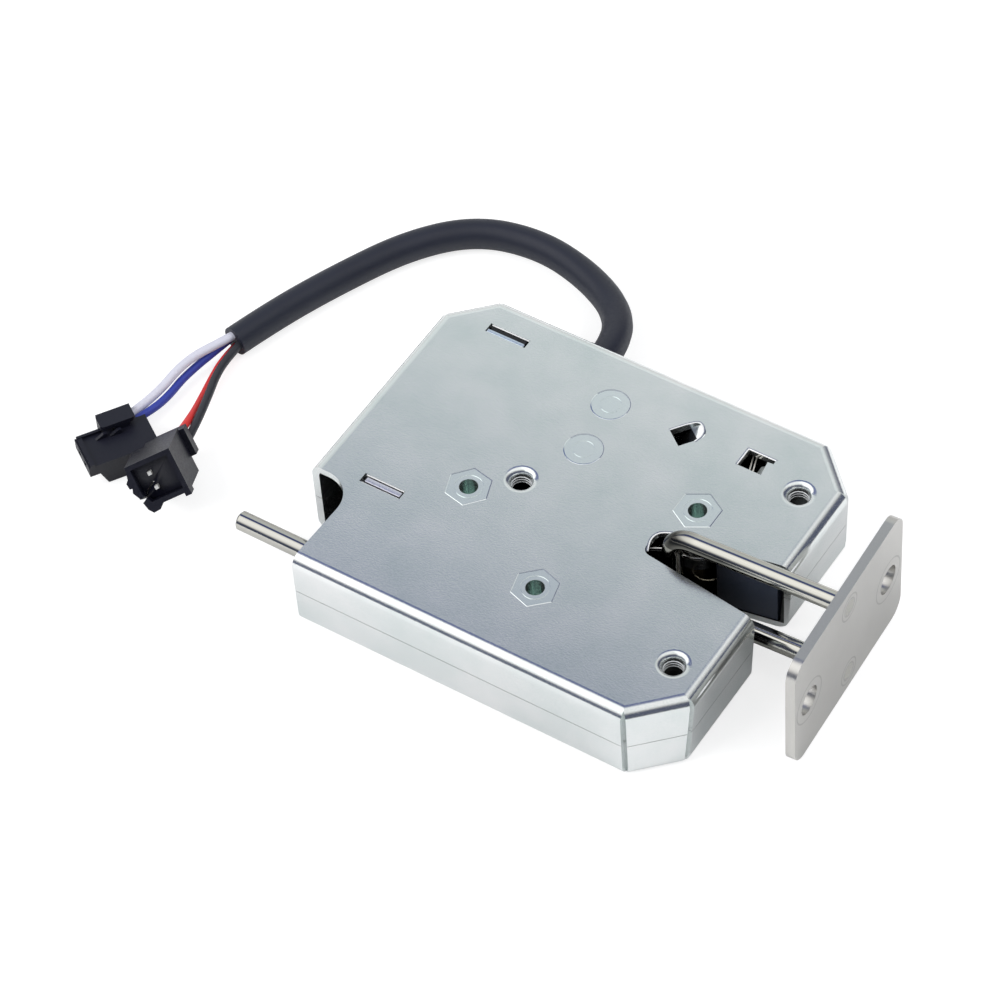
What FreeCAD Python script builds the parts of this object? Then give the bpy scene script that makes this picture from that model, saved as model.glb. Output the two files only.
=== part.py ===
import FreeCAD, Part
import math
import os

V = FreeCAD.Vector
UP = V(0, 0, 1)

# Driving dimensions, millimetres
# x runs from the release rod to the striker, y to the lead, z up from the table.

# Sheet metal body; its right wall leans inward from the top to the base
BODY_X0, BODY_X1 = -40.7, 34.3
RIGHT_BASE_X = 33.4
BODY_Y0, BODY_Y1 = -30.8, 30.8
BODY_H = 15.2
SHEET = 1.3
BEND_R = 2.0
CHAMFER_LEFT, CHAMFER_RIGHT = 6.9, 7.65
SEAM_Z = BODY_H / 2
SEAM_GAP = 0.1
CORNER_GROOVE = 1.15
FIT_GAP = 0.05
IN_Z0, IN_Z1 = SHEET, BODY_H - SHEET

# Open front left corner: its edge slants from the front wall back to the left wall's end
STEP_FRONT_X, STEP_BACK_X = -32.6, -32.0
STEP_R = 5.3
LEFT_WALL_END = -13.45

# Striker slot
SLOT_END_X = 12.8
SLOT_END_Y0, SLOT_END_Y1 = -2.5, 2.3
MOUTH_X = 34.7
MOUTH_Y0, MOUTH_Y1 = -5.35, 6.1
SLOT_CORNER_R = 1.4

# Standoffs: name, place and turn of the hexagon in degrees
HOOK_PIVOT = (-17.0, -5.0)
KICKER_PIVOT = (15.94, 8.6)
FRONT_POST = (2.52, -16.67)
STANDOFFS = {
    "standoff_left": (HOOK_PIVOT, 48.7),
    "standoff_back": (KICKER_PIVOT, 30),
    "standoff_front": (FRONT_POST, 43),
}
HEX_FLATS = 6.5
HEX_LINE_GAP = 0.06
BARREL_R = 2.5
BARREL_BORE_R = 1.5
HEAD_RING_R, HEAD_RING_W, HEAD_RING_DEPTH = 2.25, 0.2, 0.12
SCREW_R = 1.42
SCREW_HEAD_R = 2.75
SCREW_TIP_Z = 8.0
SCREW_HOLE_GAP = 0.08
CROSS_ARM, CROSS_W, CROSS_DEPTH = 1.6, 0.6, 0.9

# Extruded and tapped M4 holes
M4_HOLES = [(-10.8, 0.35), (27.64, 19.26), (28.05, -18.56)]
M4_MINOR_R = 1.65
EXTRUDE_R = 2.75
EXTRUDE_L = 2.8
RIM_R = 1.1

# Lanced spring anchors in the top: a square-ended one with a bent-down tongue, and a notched window
LANCE_A = (5.3, 19.25)
LANCE_A_TURN = 53.1
LANCE_A_W, LANCE_A_L = 3.5, 5.2
TONGUE_DROP, TONGUE_LIP = 2.6, 0.9
TONGUE_TIP_X, TONGUE_HEEL_X = 1.9, 2.4
LANCE_B = [(16.4, 19.55), (20.7, 19.55), (20.3, 22.3), (21.3, 22.4), (21.3, 23.2), (16.4, 23.2)]

# Solenoid, along y
COIL_X = -28.6
COIL_Z = SEAM_Z
YOKE_X0, YOKE_X1 = -36.6, -21.4
YOKE_FRONT_Y, YOKE_BACK_Y = -11.6, 24.4
YOKE_T = 1.2
YOKE_BEND_R = 1.6
YOKE_TAB_W = 6.4
YOKE_TAB_SINK = 0.3
TAB_SLOT_W, TAB_SLOT_H = 7.4, 1.8
BOBBIN_HALF = 5.8
BOBBIN_FLANGE_T = 1.2
BOBBIN_CORNER_R = 1.5
BOBBIN_TUBE_R = 3.6
BOBBIN_BORE_R = 2.65
COIL_R = 5.5
PLUNGER_R = 2.5
CORE_FACE_Y = 7.8
CORE_SPIGOT_R = 1.5
CORE_RIVET_OUT = 0.4
PLUNGER_GAP = 0.4
PLUNGER_TONGUE_T = 3.0
PLUNGER_TONGUE_W = 4.6
PLUNGER_TONGUE_END_Y = -16.9
PLUNGER_PIN_Y = -15.0
PLUNGER_PIN_R = 1.0
PIN_TOP_Z = 12.6
SPRING_BORE_R = 1.5
SPRING_BORE_L = 6.0
PLUNGER_SPRING_WIRE_R = 0.22
PLUNGER_SPRING_TURNS = 7

# Latch hook: the claw's outline is given in the locked place, where it stands across the slot beside the
# bar, and its other arms in the released place, where the whole hook is drawn
HOOK_Z0, HOOK_Z1 = 9.4, 11.9
HOOK_SWING = 11.7
HOOK_HUB_R = 4.6
HOOK_BUSH_R = 3.4
HOOK_BUSH_STEP = 0.3
HOOK_SPACER_R = 3.1
HOOK_SPRING_R = 3.9
HOOK_SPRING_Z0, HOOK_SPRING_Z1 = 4.6, 9.0
HOOK_SPRING_TURNS = 4.25
HOOK_SPRING_ANGLE = -60
HOOK_SPRING_LEG = 5.0
HOOK_TIP_R = 0.6
HOOK_SLOT_GAP = 0.15
RUNNING_GAP = 0.05
CLAW_ROOT_BACK = [(-17.0, -3.2), (-9.5, -4.3)]
CLAW_TIP = [(19.35, -4.3), (18.25, 2.3), (18.9, 3.0), (19.9, 2.5), (25.0, -5.2), (24.6, -8.6)]
CLAW_ROOT_FRONT = [(22.0, -9.6), (-9.0, -9.2), (-17.0, -7.6)]
ROD_ARM_TIP = [(-16.7, -25.4), (-21.1, -25.4)]
ROD_ARM = [(-20.6, -6.0), (-14.4, -6.0), (-16.2, -13.0)] + ROD_ARM_TIP + [(-21.4, -13.0)]
PLUNGER_ARM_TIP = [(-32.4, -13.1), (-32.4, -16.9)]
PLUNGER_ARM = [(-18.0, -13.1)] + PLUNGER_ARM_TIP + [(-18.0, -16.9)]
SWITCH_FINGER = [(-19.0, -5.0), (-18.4, 8.2), (-17.6, 9.2), (-16.3, 9.2), (-15.2, 8.0), (-14.6, -2.0)]
PLUNGER_SLOT_X0, PLUNGER_SLOT_X1 = -31.0, -28.5
ROD_SLOT_Y0, ROD_SLOT_Y1 = -23.5, -23.2

# Release rod, along x
ROD_Y, ROD_Z = -23.45, SEAM_Z
ROD_R = 1.6
ROD_CHAMFER = 0.25
ROD_TIP_X = -48.05
ROD_PIN_X = -18.9
ROD_PIN_R = 0.95
ROD_END_X = -16.8
COLLAR_R, COLLAR_L, COLLAR_GAP = 2.7, 1.2, 0.3
GUIDE_CORNER_R = 0.5
GUIDE_BORE_GAP = 0.1
GUIDE_X0, GUIDE_X1 = -31.9, -28.4
GUIDE_Y0, GUIDE_Y1 = -29.0, -20.3

# Kicker, with its arm behind the striker's bar, and the block that guides the bar
KICKER_Z0, KICKER_Z1 = 5.8, 8.2
KICKER_HUB_R = 4.1
KICKER_SPACER_R = 3.4
KICKER_ARM = [(11.94, 8.1), (14.74, 5.6), (14.75, -1.0), (14.2, -1.7), (12.6, -1.7), (11.9, -1.0)]
KICKER_SPRING_R = 4.5
KICKER_SPRING_Z0, KICKER_SPRING_Z1 = 8.4, 11.6
KICKER_SPRING_TURNS = 2.34
KICKER_SPRING_ANGLE = -61
KICKER_SPRING_LONG_LEG, KICKER_SPRING_SHORT_LEG = 10.0, 4.0
SPRING_WIRE_R = 0.4
SPACER_GAP = 0.1
SLOT_GUIDE_X0, SLOT_GUIDE_X1 = 21.6, 31.7
SLOT_GUIDE_BACK_Y = 13.4
SLOT_GUIDE_GAP = 0.15
SLOT_GUIDE_CORNER_R = 0.6

# Micro switch, hung from two riveted pins
SWITCH_PINS = [(-6.84, 20.2), (-5.66, 10.32)]
SWITCH_L, SWITCH_W, SWITCH_T = 19.8, 10.2, 6.4
SWITCH_PIN_EDGE = 2.9
SWITCH_PIN_R = 1.15
SWITCH_RIVET_R, SWITCH_RIVET_T, SWITCH_RIVET_GAP = 3.1, 0.6, 0.03
RIVET_RING_R, RIVET_RING_W, RIVET_RING_DEPTH = 1.75, 0.15, 0.08
SWITCH_Z1 = IN_Z1 - FIT_GAP
SWITCH_Z0 = SWITCH_Z1 - SWITCH_T
SWITCH_FACE = SWITCH_PIN_EDGE - SWITCH_W
SWITCH_CORNER_R = 0.5
BUTTON_Y, BUTTON_Z = 1.5, 10.7
BUTTON_W, BUTTON_GAP = 2.0, 0.1
BUTTON_OUT, BUTTON_IN, BUTTON_HOLE_DEPTH = 0.5, 1.5, 2.6
LEVER_Z0, LEVER_Z1 = 8.9, 12.4
LEVER_CLEARANCE, LEVER_T, LEVER_HINGE_R = 0.7, 0.35, 0.6
LEVER_ROOT_Y, LEVER_BEND_Y = 8.4, -7.0
LEVER_LIP = [(-1.0, -8.6), (-0.7, -8.8)]
TERMINAL_YS = (-8.2, 0.0, 8.2)
TERMINAL_L, TERMINAL_W, TERMINAL_T = 4.0, 3.2, 0.5

# Striker, lying loose and slightly cocked in the slot
STRIKER_YAW = 2.5
PLATE_FACE_X, PLATE_FACE_Y = 46.8, 1.09
PLATE_L, PLATE_H, PLATE_T = 35.0, 22.9, 1.6
PLATE_CORNER_R = 3.0
PLATE_HOLE_R = 2.45
PLATE_HOLE_SPACING = 25.8
BOW_R = 1.575
BOW_REACH = 30.1
BOW_SPACING = 15.6
BOW_BEND_R = 3.6
RIVET_GROOVE_OUT, RIVET_GROOVE_IN = 0.1, 0.25

# Lead: the sleeve drops from its exit to the table, and its four wires go on to two connectors
SLEEVE_R = 2.55
SLEEVE_EXIT = (-17.0, 31.9, 7.0)
SLEEVE_ROUTE = [
    SLEEVE_EXIT,
    (-17.4, 38.6, 5.9),
    (-21.9, 46.2, 3.9),
    (-31.0, 51.4, 2.7),
    (-41.5, 53.5, 2.6),
    (-52.3, 51.0, 2.6),
    (-60.4, 42.6, 2.6),
    (-66.6, 29.6, 2.6),
    (-71.0, 18.3, 2.6),
    (-73.3, 10.3, 2.6),
]
WIRE_R = 0.65
WIRE_ROUTES = {
    "wire_white": [(-73.55, 10.85, 3.6), (-74.93, 7.29, 3.74), (-76.61, 3.86, 3.57), (-77.56, 0.22, 3.16),
                   (-77.79, -3.55, 2.55), (-78.49, -7.27, 2.04), (-79.45, -10.95, 1.9)],
    "wire_blue": [(-74.45, 11.0, 2.25), (-75.18, 7.22, 2.14), (-76.06, 3.48, 1.85), (-76.57, -0.33, 1.7),
                  (-76.39, -4.17, 1.7), (-76.85, -7.98, 1.81), (-78.15, -11.6, 1.9)],
    "wire_red": [(-73.2, 10.7, 1.5), (-73.28, 6.61, 1.58), (-72.48, 2.55, 1.62), (-71.41, -1.43, 1.9),
                 (-70.19, -5.28, 2.8), (-68.89, -8.86, 4.41), (-67.9, -12.7, 5.6)],
    "wire_black": [(-72.15, 10.4, 2.75), (-72.05, 6.34, 2.99), (-71.33, 2.37, 3.3), (-69.93, -1.44, 3.62),
                   (-68.56, -5.23, 4.11), (-67.4, -9.11, 4.25), (-66.6, -13.1, 4.1)],
}
GROMMET_GAP = 1.0
GROMMET_FLANGE, GROMMET_INNER_T = 0.9, 1.35
GROMMET_FACE_Y = 32.3

# Connector housings, in their own frames: x from near the mating end back to the wires, top at z = 0.
# A block is given as its two far corners.
PLUG_CORNER, PLUG_AZIMUTH = (-82.2, -21.5, 4.9), 56.5
PLUG_L, PLUG_W, PLUG_H = 12.1, 6.8, 4.8
PLUG_NOSE_H, PLUG_NOSE_L, PLUG_SLOPE_END = 2.1, 1.7, 2.8
PLUG_CHAMFER = 1.2
PLUG_LEDGE = (5.0, -0.5, -4.8, 10.8, 4.4, -1.2)
PLUG_LATCH = (4.3, -1.3, 1.0, 10.1, 1.7, 1.8)
PLUG_LATCH_R = 0.7
PLUG_LATCH_FOOT = (6.6, -1.2, -1.7, 9.2, 1.2, 1.1)
PLUG_RIB_PLACES = [(2.4, -1.9), (4.8, -2.1)]
PLUG_RIB = [(0, -0.4), (2.6, -0.4), (2.6, 0.9), (2.0, 0.9)]
PLUG_RIB_W = 0.5
PLUG_RIMS = [(0.3, -0.5, -0.1, 4.4, 0, 0.5), (0.3, -6.8, -0.1, 1.1, 0, 0.4)]
PLUG_MOUTH_W, PLUG_MOUTH_Z0, PLUG_MOUTH_Z1, PLUG_MOUTH_DEPTH = 1.0, -1.6, -0.6, 4.0
CONTACT_PITCH = 2.5
SOCKET_CORNER = (-62.9, -20.6, 13.7)
SOCKET_TURNS = (120.7, 33.3, -24.1)
SOCKET_L, SOCKET_W, SOCKET_H = 9.9, 5.7, 7.6
SOCKET_FACE_X, SOCKET_FLOOR_X = -1.2, 7.5
SOCKET_MOUTH = [(0.8, -0.8), (7.2, -0.8), (7.2, -5.0), (6.3, -6.8), (0.8, -6.8)]
SOCKET_GUARD = [(5.0, 0), (7.8, 0), (7.9, -0.7), (8.2, -2.0), (8.7, -2.5), (8.6, -3.5), (8.15, -3.6),
                (8.45, -4.3), (7.9, -5.4), (7.4, -7.7), (6.8, -8.5), (5.6, -8.4), (4.7, -7.5)]
SOCKET_LIP = (-1.2, 0, -8.2, 1.5, 1.0, -7.5)
SOCKET_SLIT = [(8.6, -5.6), (7.7, -5.7), (6.8, -5.5), (5.4, -4.25), (4.9, -4.1), (4.9, -4.35), (5.4, -4.55),
               (6.7, -5.8), (7.5, -6.3), (8.6, -6.5)]
SOCKET_SLIT_RUN = (12.0, 1.94, -3.72)
SOCKET_TAIL = (9.8, -0.9, -5.0, 12.5, 4.6, -0.3)
SOCKET_PIN_HALF, SOCKET_PIN_TIP_X, SOCKET_PIN_Y = 0.3, -0.7, 4.7


def box(x0, y0, z0, x1, y1, z1):
    return Part.makeBox(x1 - x0, y1 - y0, z1 - z0, V(x0, y0, z0))


def cylinder(radius, start, end):
    axis = V(*end) - V(*start)
    return Part.makeCylinder(radius, axis.Length, V(*start), axis)


def post(radius, place, z0, z1):
    return Part.makeCylinder(radius, z1 - z0, V(place[0], place[1], z0))


def tube(outer, inner, place, z0, z1):
    return post(outer, place, z0, z1).cut(post(inner, place, z0 - 1, z1 + 1))


def prism(points, z0, z1):
    corners = [V(x, y, z0) for x, y in points]
    return Part.Face(Part.makePolygon(corners + corners[:1])).extrude(V(0, 0, z1 - z0))


def side_profile(points, y0, y1):
    corners = [V(x, y0, z) for x, z in points]
    return Part.Face(Part.makePolygon(corners + corners[:1])).extrude(V(0, y1 - y0, 0))


def turned(point, centre, degrees):
    a = math.radians(degrees)
    dx, dy = point[0] - centre[0], point[1] - centre[1]
    return (centre[0] + dx * math.cos(a) - dy * math.sin(a), centre[1] + dx * math.sin(a) + dy * math.cos(a))


def fused(first, *others):
    return first.multiFuse(list(others)).removeSplitter()


def upright_edges(shape, wanted):
    """Edges parallel to z whose plan place is in the list of wanted places."""
    found = []
    for edge in shape.Edges:
        a, b = edge.Vertexes[0].Point, edge.Vertexes[-1].Point
        if abs(a.z - b.z) < 0.5 or math.hypot(a.x - b.x, a.y - b.y) > 0.001:
            continue
        if any(math.hypot(a.x - x, a.y - y) < 0.02 for x, y in wanted):
            found.append(edge)
    return found


def rising_edges(shape):
    return [edge for edge in shape.Edges if abs(edge.Vertexes[0].Z - edge.Vertexes[-1].Z) > 0.5]


def save(name, shape):
    shape.exportStep("parts/" + name + ".step")
    state = "valid" if shape.isValid() else "INVALID"
    print(name, len(shape.Solids), "solid", round(shape.Volume, 1), "mm3", state)


# Shells

def body_outline(inset):
    """The body's outline with three cut corners; the front left corner is cut away later."""
    x0, x1 = BODY_X0 + inset, BODY_X1 - inset
    y0, y1 = BODY_Y0 + inset, BODY_Y1 - inset
    shrink = inset * (2 - math.sqrt(2))
    left, right = CHAMFER_LEFT - shrink, CHAMFER_RIGHT - shrink
    return [(x0, y0), (x1 - right, y0), (x1, y0 + right), (x1, y1 - right), (x1 - right, y1),
            (x0 + left, y1), (x0, y1 - left)]


def right_wall_x(z):
    return RIGHT_BASE_X + (BODY_X1 - RIGHT_BASE_X) * z / BODY_H


def beyond_right_wall(inset, x_flat, x_seam):
    """All that lies outside a leaning wall that passes x_flat at the tray's flat and x_seam at the seam."""
    z_low, z_high = SEAM_Z - 2 * BODY_H, SEAM_Z + 2 * BODY_H
    lean = (x_flat - x_seam) / (BODY_H - SEAM_Z)
    low = V(x_seam + lean * (z_low - SEAM_Z) - inset, BODY_Y0 - 5, z_low)
    high = V(x_seam + lean * (z_high - SEAM_Z) - inset, BODY_Y0 - 5, z_high)
    out = V(2 * BODY_H, 0, 0)
    face = Part.Face(Part.makePolygon([low, low + out, high + out, high, low]))
    return face.extrude(V(0, BODY_Y1 - BODY_Y0 + 10, 0))


def bent(shape, radius, z_flat):
    """The shape with the edges of its flat top rounded."""
    return shape.makeFillet(radius, [e for e in shape.Edges if all(v.Z > z_flat - 0.01 for v in e.Vertexes)])


def tray(x_flat, x_seam):
    """A shell before its cut-outs: a flat top with flanges bent down to the seam."""
    z_rim = SEAM_Z + SEAM_GAP / 2
    outside = prism(body_outline(0), z_rim, BODY_H).cut(beyond_right_wall(0, x_flat, x_seam))
    inside = prism(body_outline(SHEET), z_rim - 5, IN_Z1).cut(beyond_right_wall(SHEET, x_flat, x_seam))
    return bent(outside, BEND_R, BODY_H).cut(bent(inside, BEND_R - SHEET, IN_Z1))


def slot_edge(x, end_y, mouth_y):
    """Place of one of the slot's flared edges at x."""
    return end_y + (mouth_y - end_y) * (x - SLOT_END_X) / (MOUTH_X - SLOT_END_X)


def slot_cutter():
    """The flared slot, open through the shells and the right wall."""
    far_x = MOUTH_X + 4
    ends = [(SLOT_END_X, SLOT_END_Y0), (SLOT_END_X, SLOT_END_Y1)]
    plan = prism([ends[0], (far_x, slot_edge(far_x, SLOT_END_Y0, MOUTH_Y0)),
                  (far_x, slot_edge(far_x, SLOT_END_Y1, MOUTH_Y1)), ends[1]], -1, BODY_H + 1)
    return plan.makeFillet(SLOT_CORNER_R, upright_edges(plan, ends))


def step_cutter():
    """The open front left corner, with its rounded inside corner."""
    low, high = -1, BODY_H + 1
    slant = (STEP_BACK_X - STEP_FRONT_X) / (LEFT_WALL_END - BODY_Y0)
    far_x, far_y = BODY_X0 - 5, BODY_Y0 - 5
    corner = (STEP_BACK_X, LEFT_WALL_END)
    front_x = STEP_FRONT_X + slant * (far_y - BODY_Y0)
    square = prism([(far_x, far_y), (front_x, far_y), corner, (far_x, LEFT_WALL_END)], low, high)
    return square.makeFillet(STEP_R, upright_edges(square, [corner]))


def groove_section(before, here, after, z):
    """Plan of the V groove at a corner, between the square-cut ends of its two flanges."""
    t1 = V(here[0] - before[0], here[1] - before[1], 0).normalize()
    t2 = V(after[0] - here[0], after[1] - here[1], 0).normalize()
    out1, out2 = V(t1.y, -t1.x, 0), V(t2.y, -t2.x, 0)
    outward = (out1 + out2).normalize()
    half_turn = out1.getAngle(out2) / 2
    tip = V(here[0], here[1], z) - outward * (CORNER_GROOVE / math.cos(half_turn))
    reach = CORNER_GROOVE + SHEET
    corners = [tip, tip + out1 * reach, tip + outward * (reach / math.cos(half_turn)), tip + out2 * reach]
    return Part.makePolygon(corners + corners[:1])


def groove_cutters():
    """A V groove up each cut corner of the body; those on the right wall lean with it."""
    grooves = []
    count = len(body_outline(0))
    for k in range(1, count):
        sections = []
        for z in (-1, BODY_H + 1):
            lean = BODY_X1 - right_wall_x(z)
            outline = body_outline(0)
            outline[2] = (outline[2][0] - lean, outline[2][1] - lean)
            outline[3] = (outline[3][0] - lean, outline[3][1] + lean)
            sections.append(groove_section(outline[k - 1], outline[k], outline[(k + 1) % count], z))
        grooves.append(Part.makeLoft(sections, True, True))
    return grooves


def hexagon(place, turn, flats, z0, z1):
    r = flats / math.sqrt(3)
    return prism([(place[0] + r * math.cos(math.radians(turn + 60 * k)),
                   place[1] + r * math.sin(math.radians(turn + 60 * k))) for k in range(6)], z0, z1)


def tab_slots(z0, z1):
    half_w, half_h = TAB_SLOT_W / 2, TAB_SLOT_H / 2
    return [box(COIL_X - half_w, y - half_h, z0, COIL_X + half_w, y + half_h, z1)
            for y in (YOKE_FRONT_Y, YOKE_BACK_Y)]


def lance_a_parts():
    """The U-shaped window and the tongue that slopes down into it from its round end."""
    half = LANCE_A_W / 2
    straight = LANCE_A_L - half
    window = fused(box(0, -half, IN_Z1 - 1, straight, half, BODY_H + 1),
                   post(half, (straight, 0), IN_Z1 - 1, BODY_H + 1))
    tip_z = BODY_H - TONGUE_DROP
    slope = [(LANCE_A_L, BODY_H), (TONGUE_TIP_X, tip_z), (TONGUE_TIP_X, tip_z - TONGUE_LIP),
             (TONGUE_HEEL_X, tip_z - TONGUE_LIP), (LANCE_A_L, IN_Z1)]
    side = side_profile(slope, -half, half)
    outline = fused(box(0, -half, 0, straight, half, BODY_H), post(half, (straight, 0), 0, BODY_H))
    tongue = side.common(outline)
    for shape in (window, tongue):
        shape.rotate(V(0, 0, 0), UP, LANCE_A_TURN)
        shape.translate(V(LANCE_A[0], LANCE_A[1], 0))
    return window, tongue


def rolled_mouth(place):
    """What is cut from the sheet where a tapped hole's mouth rolls over into its bore."""
    rim_r, rim_z = M4_MINOR_R + RIM_R, BODY_H - RIM_R
    start, end = V(M4_MINOR_R, 0, rim_z), V(rim_r, 0, BODY_H)
    middle = V(rim_r - RIM_R * math.sqrt(0.5), 0, rim_z + RIM_R * math.sqrt(0.5))
    roll = Part.Arc(start, middle, end).toShape()
    rest = [end, V(rim_r, 0, BODY_H + 1), V(0, 0, BODY_H + 1), V(0, 0, rim_z), start]
    profile = Part.Wire([roll] + [Part.makeLine(a, b) for a, b in zip(rest, rest[1:])])
    mouth = Part.Face(profile).revolve(V(0, 0, 0), UP, 360)
    mouth.translate(V(place[0], place[1], 0))
    return mouth


def lead_exit():
    """The round hole in the back wall, half of it in each shell."""
    return cylinder(SLEEVE_R + GROMMET_GAP, (SLEEVE_EXIT[0], BODY_Y1 - 3, SEAM_Z),
                    (SLEEVE_EXIT[0], BODY_Y1 + 1, SEAM_Z))


def top_shell():
    shell = tray(BODY_X1, right_wall_x(SEAM_Z)).cut(slot_cutter()).cut(step_cutter())
    for place in M4_HOLES:
        shell = shell.fuse(post(EXTRUDE_R, place, BODY_H - EXTRUDE_L, BODY_H))
    shell = shell.removeSplitter()
    cutters = groove_cutters() + tab_slots(IN_Z1 - 1, BODY_H + 1) + [lead_exit()]
    for place in M4_HOLES:
        cutters += [post(M4_MINOR_R, place, 0, BODY_H + 1), rolled_mouth(place)]
    for place, turn in STANDOFFS.values():
        cutters.append(hexagon(place, turn, HEX_FLATS + HEX_LINE_GAP, IN_Z1 - 1, BODY_H + 1))
    for place in SWITCH_PINS:
        cutters.append(post(SWITCH_RIVET_R, place, BODY_H - SWITCH_RIVET_T, BODY_H + 1))
        cutters.append(post(SWITCH_PIN_R, place, IN_Z1 - 1, BODY_H))
    window, tongue = lance_a_parts()
    cutters += [window, prism(LANCE_B, IN_Z1 - 1, BODY_H + 1)]
    return shell.cut(cutters).fuse(tongue).removeSplitter()


def bottom_shell():
    """The same tray turned over, with countersunk holes for the housing screws."""
    shell = tray(RIGHT_BASE_X, right_wall_x(SEAM_Z)).cut([slot_cutter(), step_cutter()])
    shell = shell.mirror(V(0, 0, SEAM_Z), UP)
    cutters = groove_cutters() + tab_slots(-1, IN_Z0 + 1) + [lead_exit()]
    hole_r = SCREW_R + SCREW_HOLE_GAP
    for place, _ in STANDOFFS.values():
        cutters.append(post(hole_r, place, -1, IN_Z0 + 1))
        cutters.append(Part.makeCone(SCREW_HEAD_R + FIT_GAP, hole_r, IN_Z0, V(place[0], place[1], 0)))
    return shell.cut(cutters)


def standoff(place, turn):
    """A hexagonal head flush in the top sheet on a round barrel that stands on the bottom sheet."""
    head = hexagon(place, turn, HEX_FLATS, IN_Z1, BODY_H)
    body = fused(head, post(BARREL_R, place, IN_Z0, IN_Z1))
    ring = tube(HEAD_RING_R + HEAD_RING_W / 2, HEAD_RING_R - HEAD_RING_W / 2, place,
                BODY_H - HEAD_RING_DEPTH, BODY_H + 1)
    return body.cut([post(BARREL_BORE_R, place, 0, BODY_H + 1), ring])


def housing_screw(place):
    head = Part.makeCone(SCREW_HEAD_R, SCREW_R, IN_Z0, V(place[0], place[1], 0))
    screw = fused(head, post(SCREW_R, place, IN_Z0, SCREW_TIP_Z))
    x, y = place
    half = CROSS_W / 2
    return screw.cut([box(x - CROSS_ARM, y - half, -1, x + CROSS_ARM, y + half, CROSS_DEPTH),
                      box(x - half, y - CROSS_ARM, -1, x + half, y + CROSS_ARM, CROSS_DEPTH)])


# Solenoid

def solenoid_yoke():
    """One bent strip: front plate, left side, back plate, with tabs up and down into both shells."""
    z0, z1 = IN_Z0 + FIT_GAP, IN_Z1 - FIT_GAP
    half = YOKE_T / 2
    front = box(YOKE_X0, YOKE_FRONT_Y - half, z0, YOKE_X1, YOKE_FRONT_Y + half, z1)
    back = box(YOKE_X0, YOKE_BACK_Y - half, z0, YOKE_X1, YOKE_BACK_Y + half, z1)
    side = box(YOKE_X0, YOKE_FRONT_Y, z0, YOKE_X0 + YOKE_T, YOKE_BACK_Y, z1)
    yoke = fused(front, back, side)
    bends = [(YOKE_X0, YOKE_FRONT_Y - half), (YOKE_X0, YOKE_BACK_Y + half)]
    yoke = yoke.makeFillet(YOKE_BEND_R, upright_edges(yoke, bends))
    tabs = []
    for y in (YOKE_FRONT_Y, YOKE_BACK_Y):
        for low, high in ((YOKE_TAB_SINK, z0), (z1, BODY_H - YOKE_TAB_SINK)):
            tabs.append(box(COIL_X - YOKE_TAB_W / 2, y - half, low, COIL_X + YOKE_TAB_W / 2, y + half, high))
    yoke = fused(yoke, *tabs)
    guide = cylinder(PLUNGER_R + 0.2, (COIL_X, YOKE_FRONT_Y - 2, COIL_Z), (COIL_X, YOKE_FRONT_Y + 2, COIL_Z))
    rivet = cylinder(CORE_SPIGOT_R, (COIL_X, YOKE_BACK_Y - 2, COIL_Z), (COIL_X, YOKE_BACK_Y + 2, COIL_Z))
    return yoke.cut([guide, rivet])


def bobbin_ends():
    return YOKE_FRONT_Y + YOKE_T / 2 + FIT_GAP, YOKE_BACK_Y - YOKE_T / 2 - FIT_GAP


def solenoid_bobbin():
    y0, y1 = bobbin_ends()
    barrel = cylinder(BOBBIN_TUBE_R, (COIL_X, y0, COIL_Z), (COIL_X, y1, COIL_Z))
    flanges = []
    for a, b in ((y0, y0 + BOBBIN_FLANGE_T), (y1 - BOBBIN_FLANGE_T, y1)):
        flange = box(COIL_X - BOBBIN_HALF, a, COIL_Z - BOBBIN_HALF,
                     COIL_X + BOBBIN_HALF, b, COIL_Z + BOBBIN_HALF)
        rims = [e for e in flange.Edges if abs(e.Vertexes[0].Y - e.Vertexes[-1].Y) > 0.5]
        flanges.append(flange.makeFillet(BOBBIN_CORNER_R, rims))
    bore = cylinder(BOBBIN_BORE_R, (COIL_X, y0 - 1, COIL_Z), (COIL_X, y1 + 1, COIL_Z))
    return fused(barrel, *flanges).cut(bore)


def solenoid_coil():
    y0, y1 = bobbin_ends()
    a, b = y0 + BOBBIN_FLANGE_T, y1 - BOBBIN_FLANGE_T
    winding = cylinder(COIL_R, (COIL_X, a, COIL_Z), (COIL_X, b, COIL_Z))
    return winding.cut(cylinder(BOBBIN_TUBE_R, (COIL_X, a - 1, COIL_Z), (COIL_X, b + 1, COIL_Z)))


def solenoid_core():
    """The fixed iron core, riveted through the yoke's back plate."""
    inner_end = YOKE_BACK_Y - YOKE_T / 2
    body = cylinder(BOBBIN_BORE_R - FIT_GAP, (COIL_X, CORE_FACE_Y, COIL_Z), (COIL_X, inner_end, COIL_Z))
    riveted_end = YOKE_BACK_Y + YOKE_T / 2 + CORE_RIVET_OUT
    spigot = cylinder(CORE_SPIGOT_R, (COIL_X, inner_end, COIL_Z), (COIL_X, riveted_end, COIL_Z))
    return fused(body, spigot)


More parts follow.
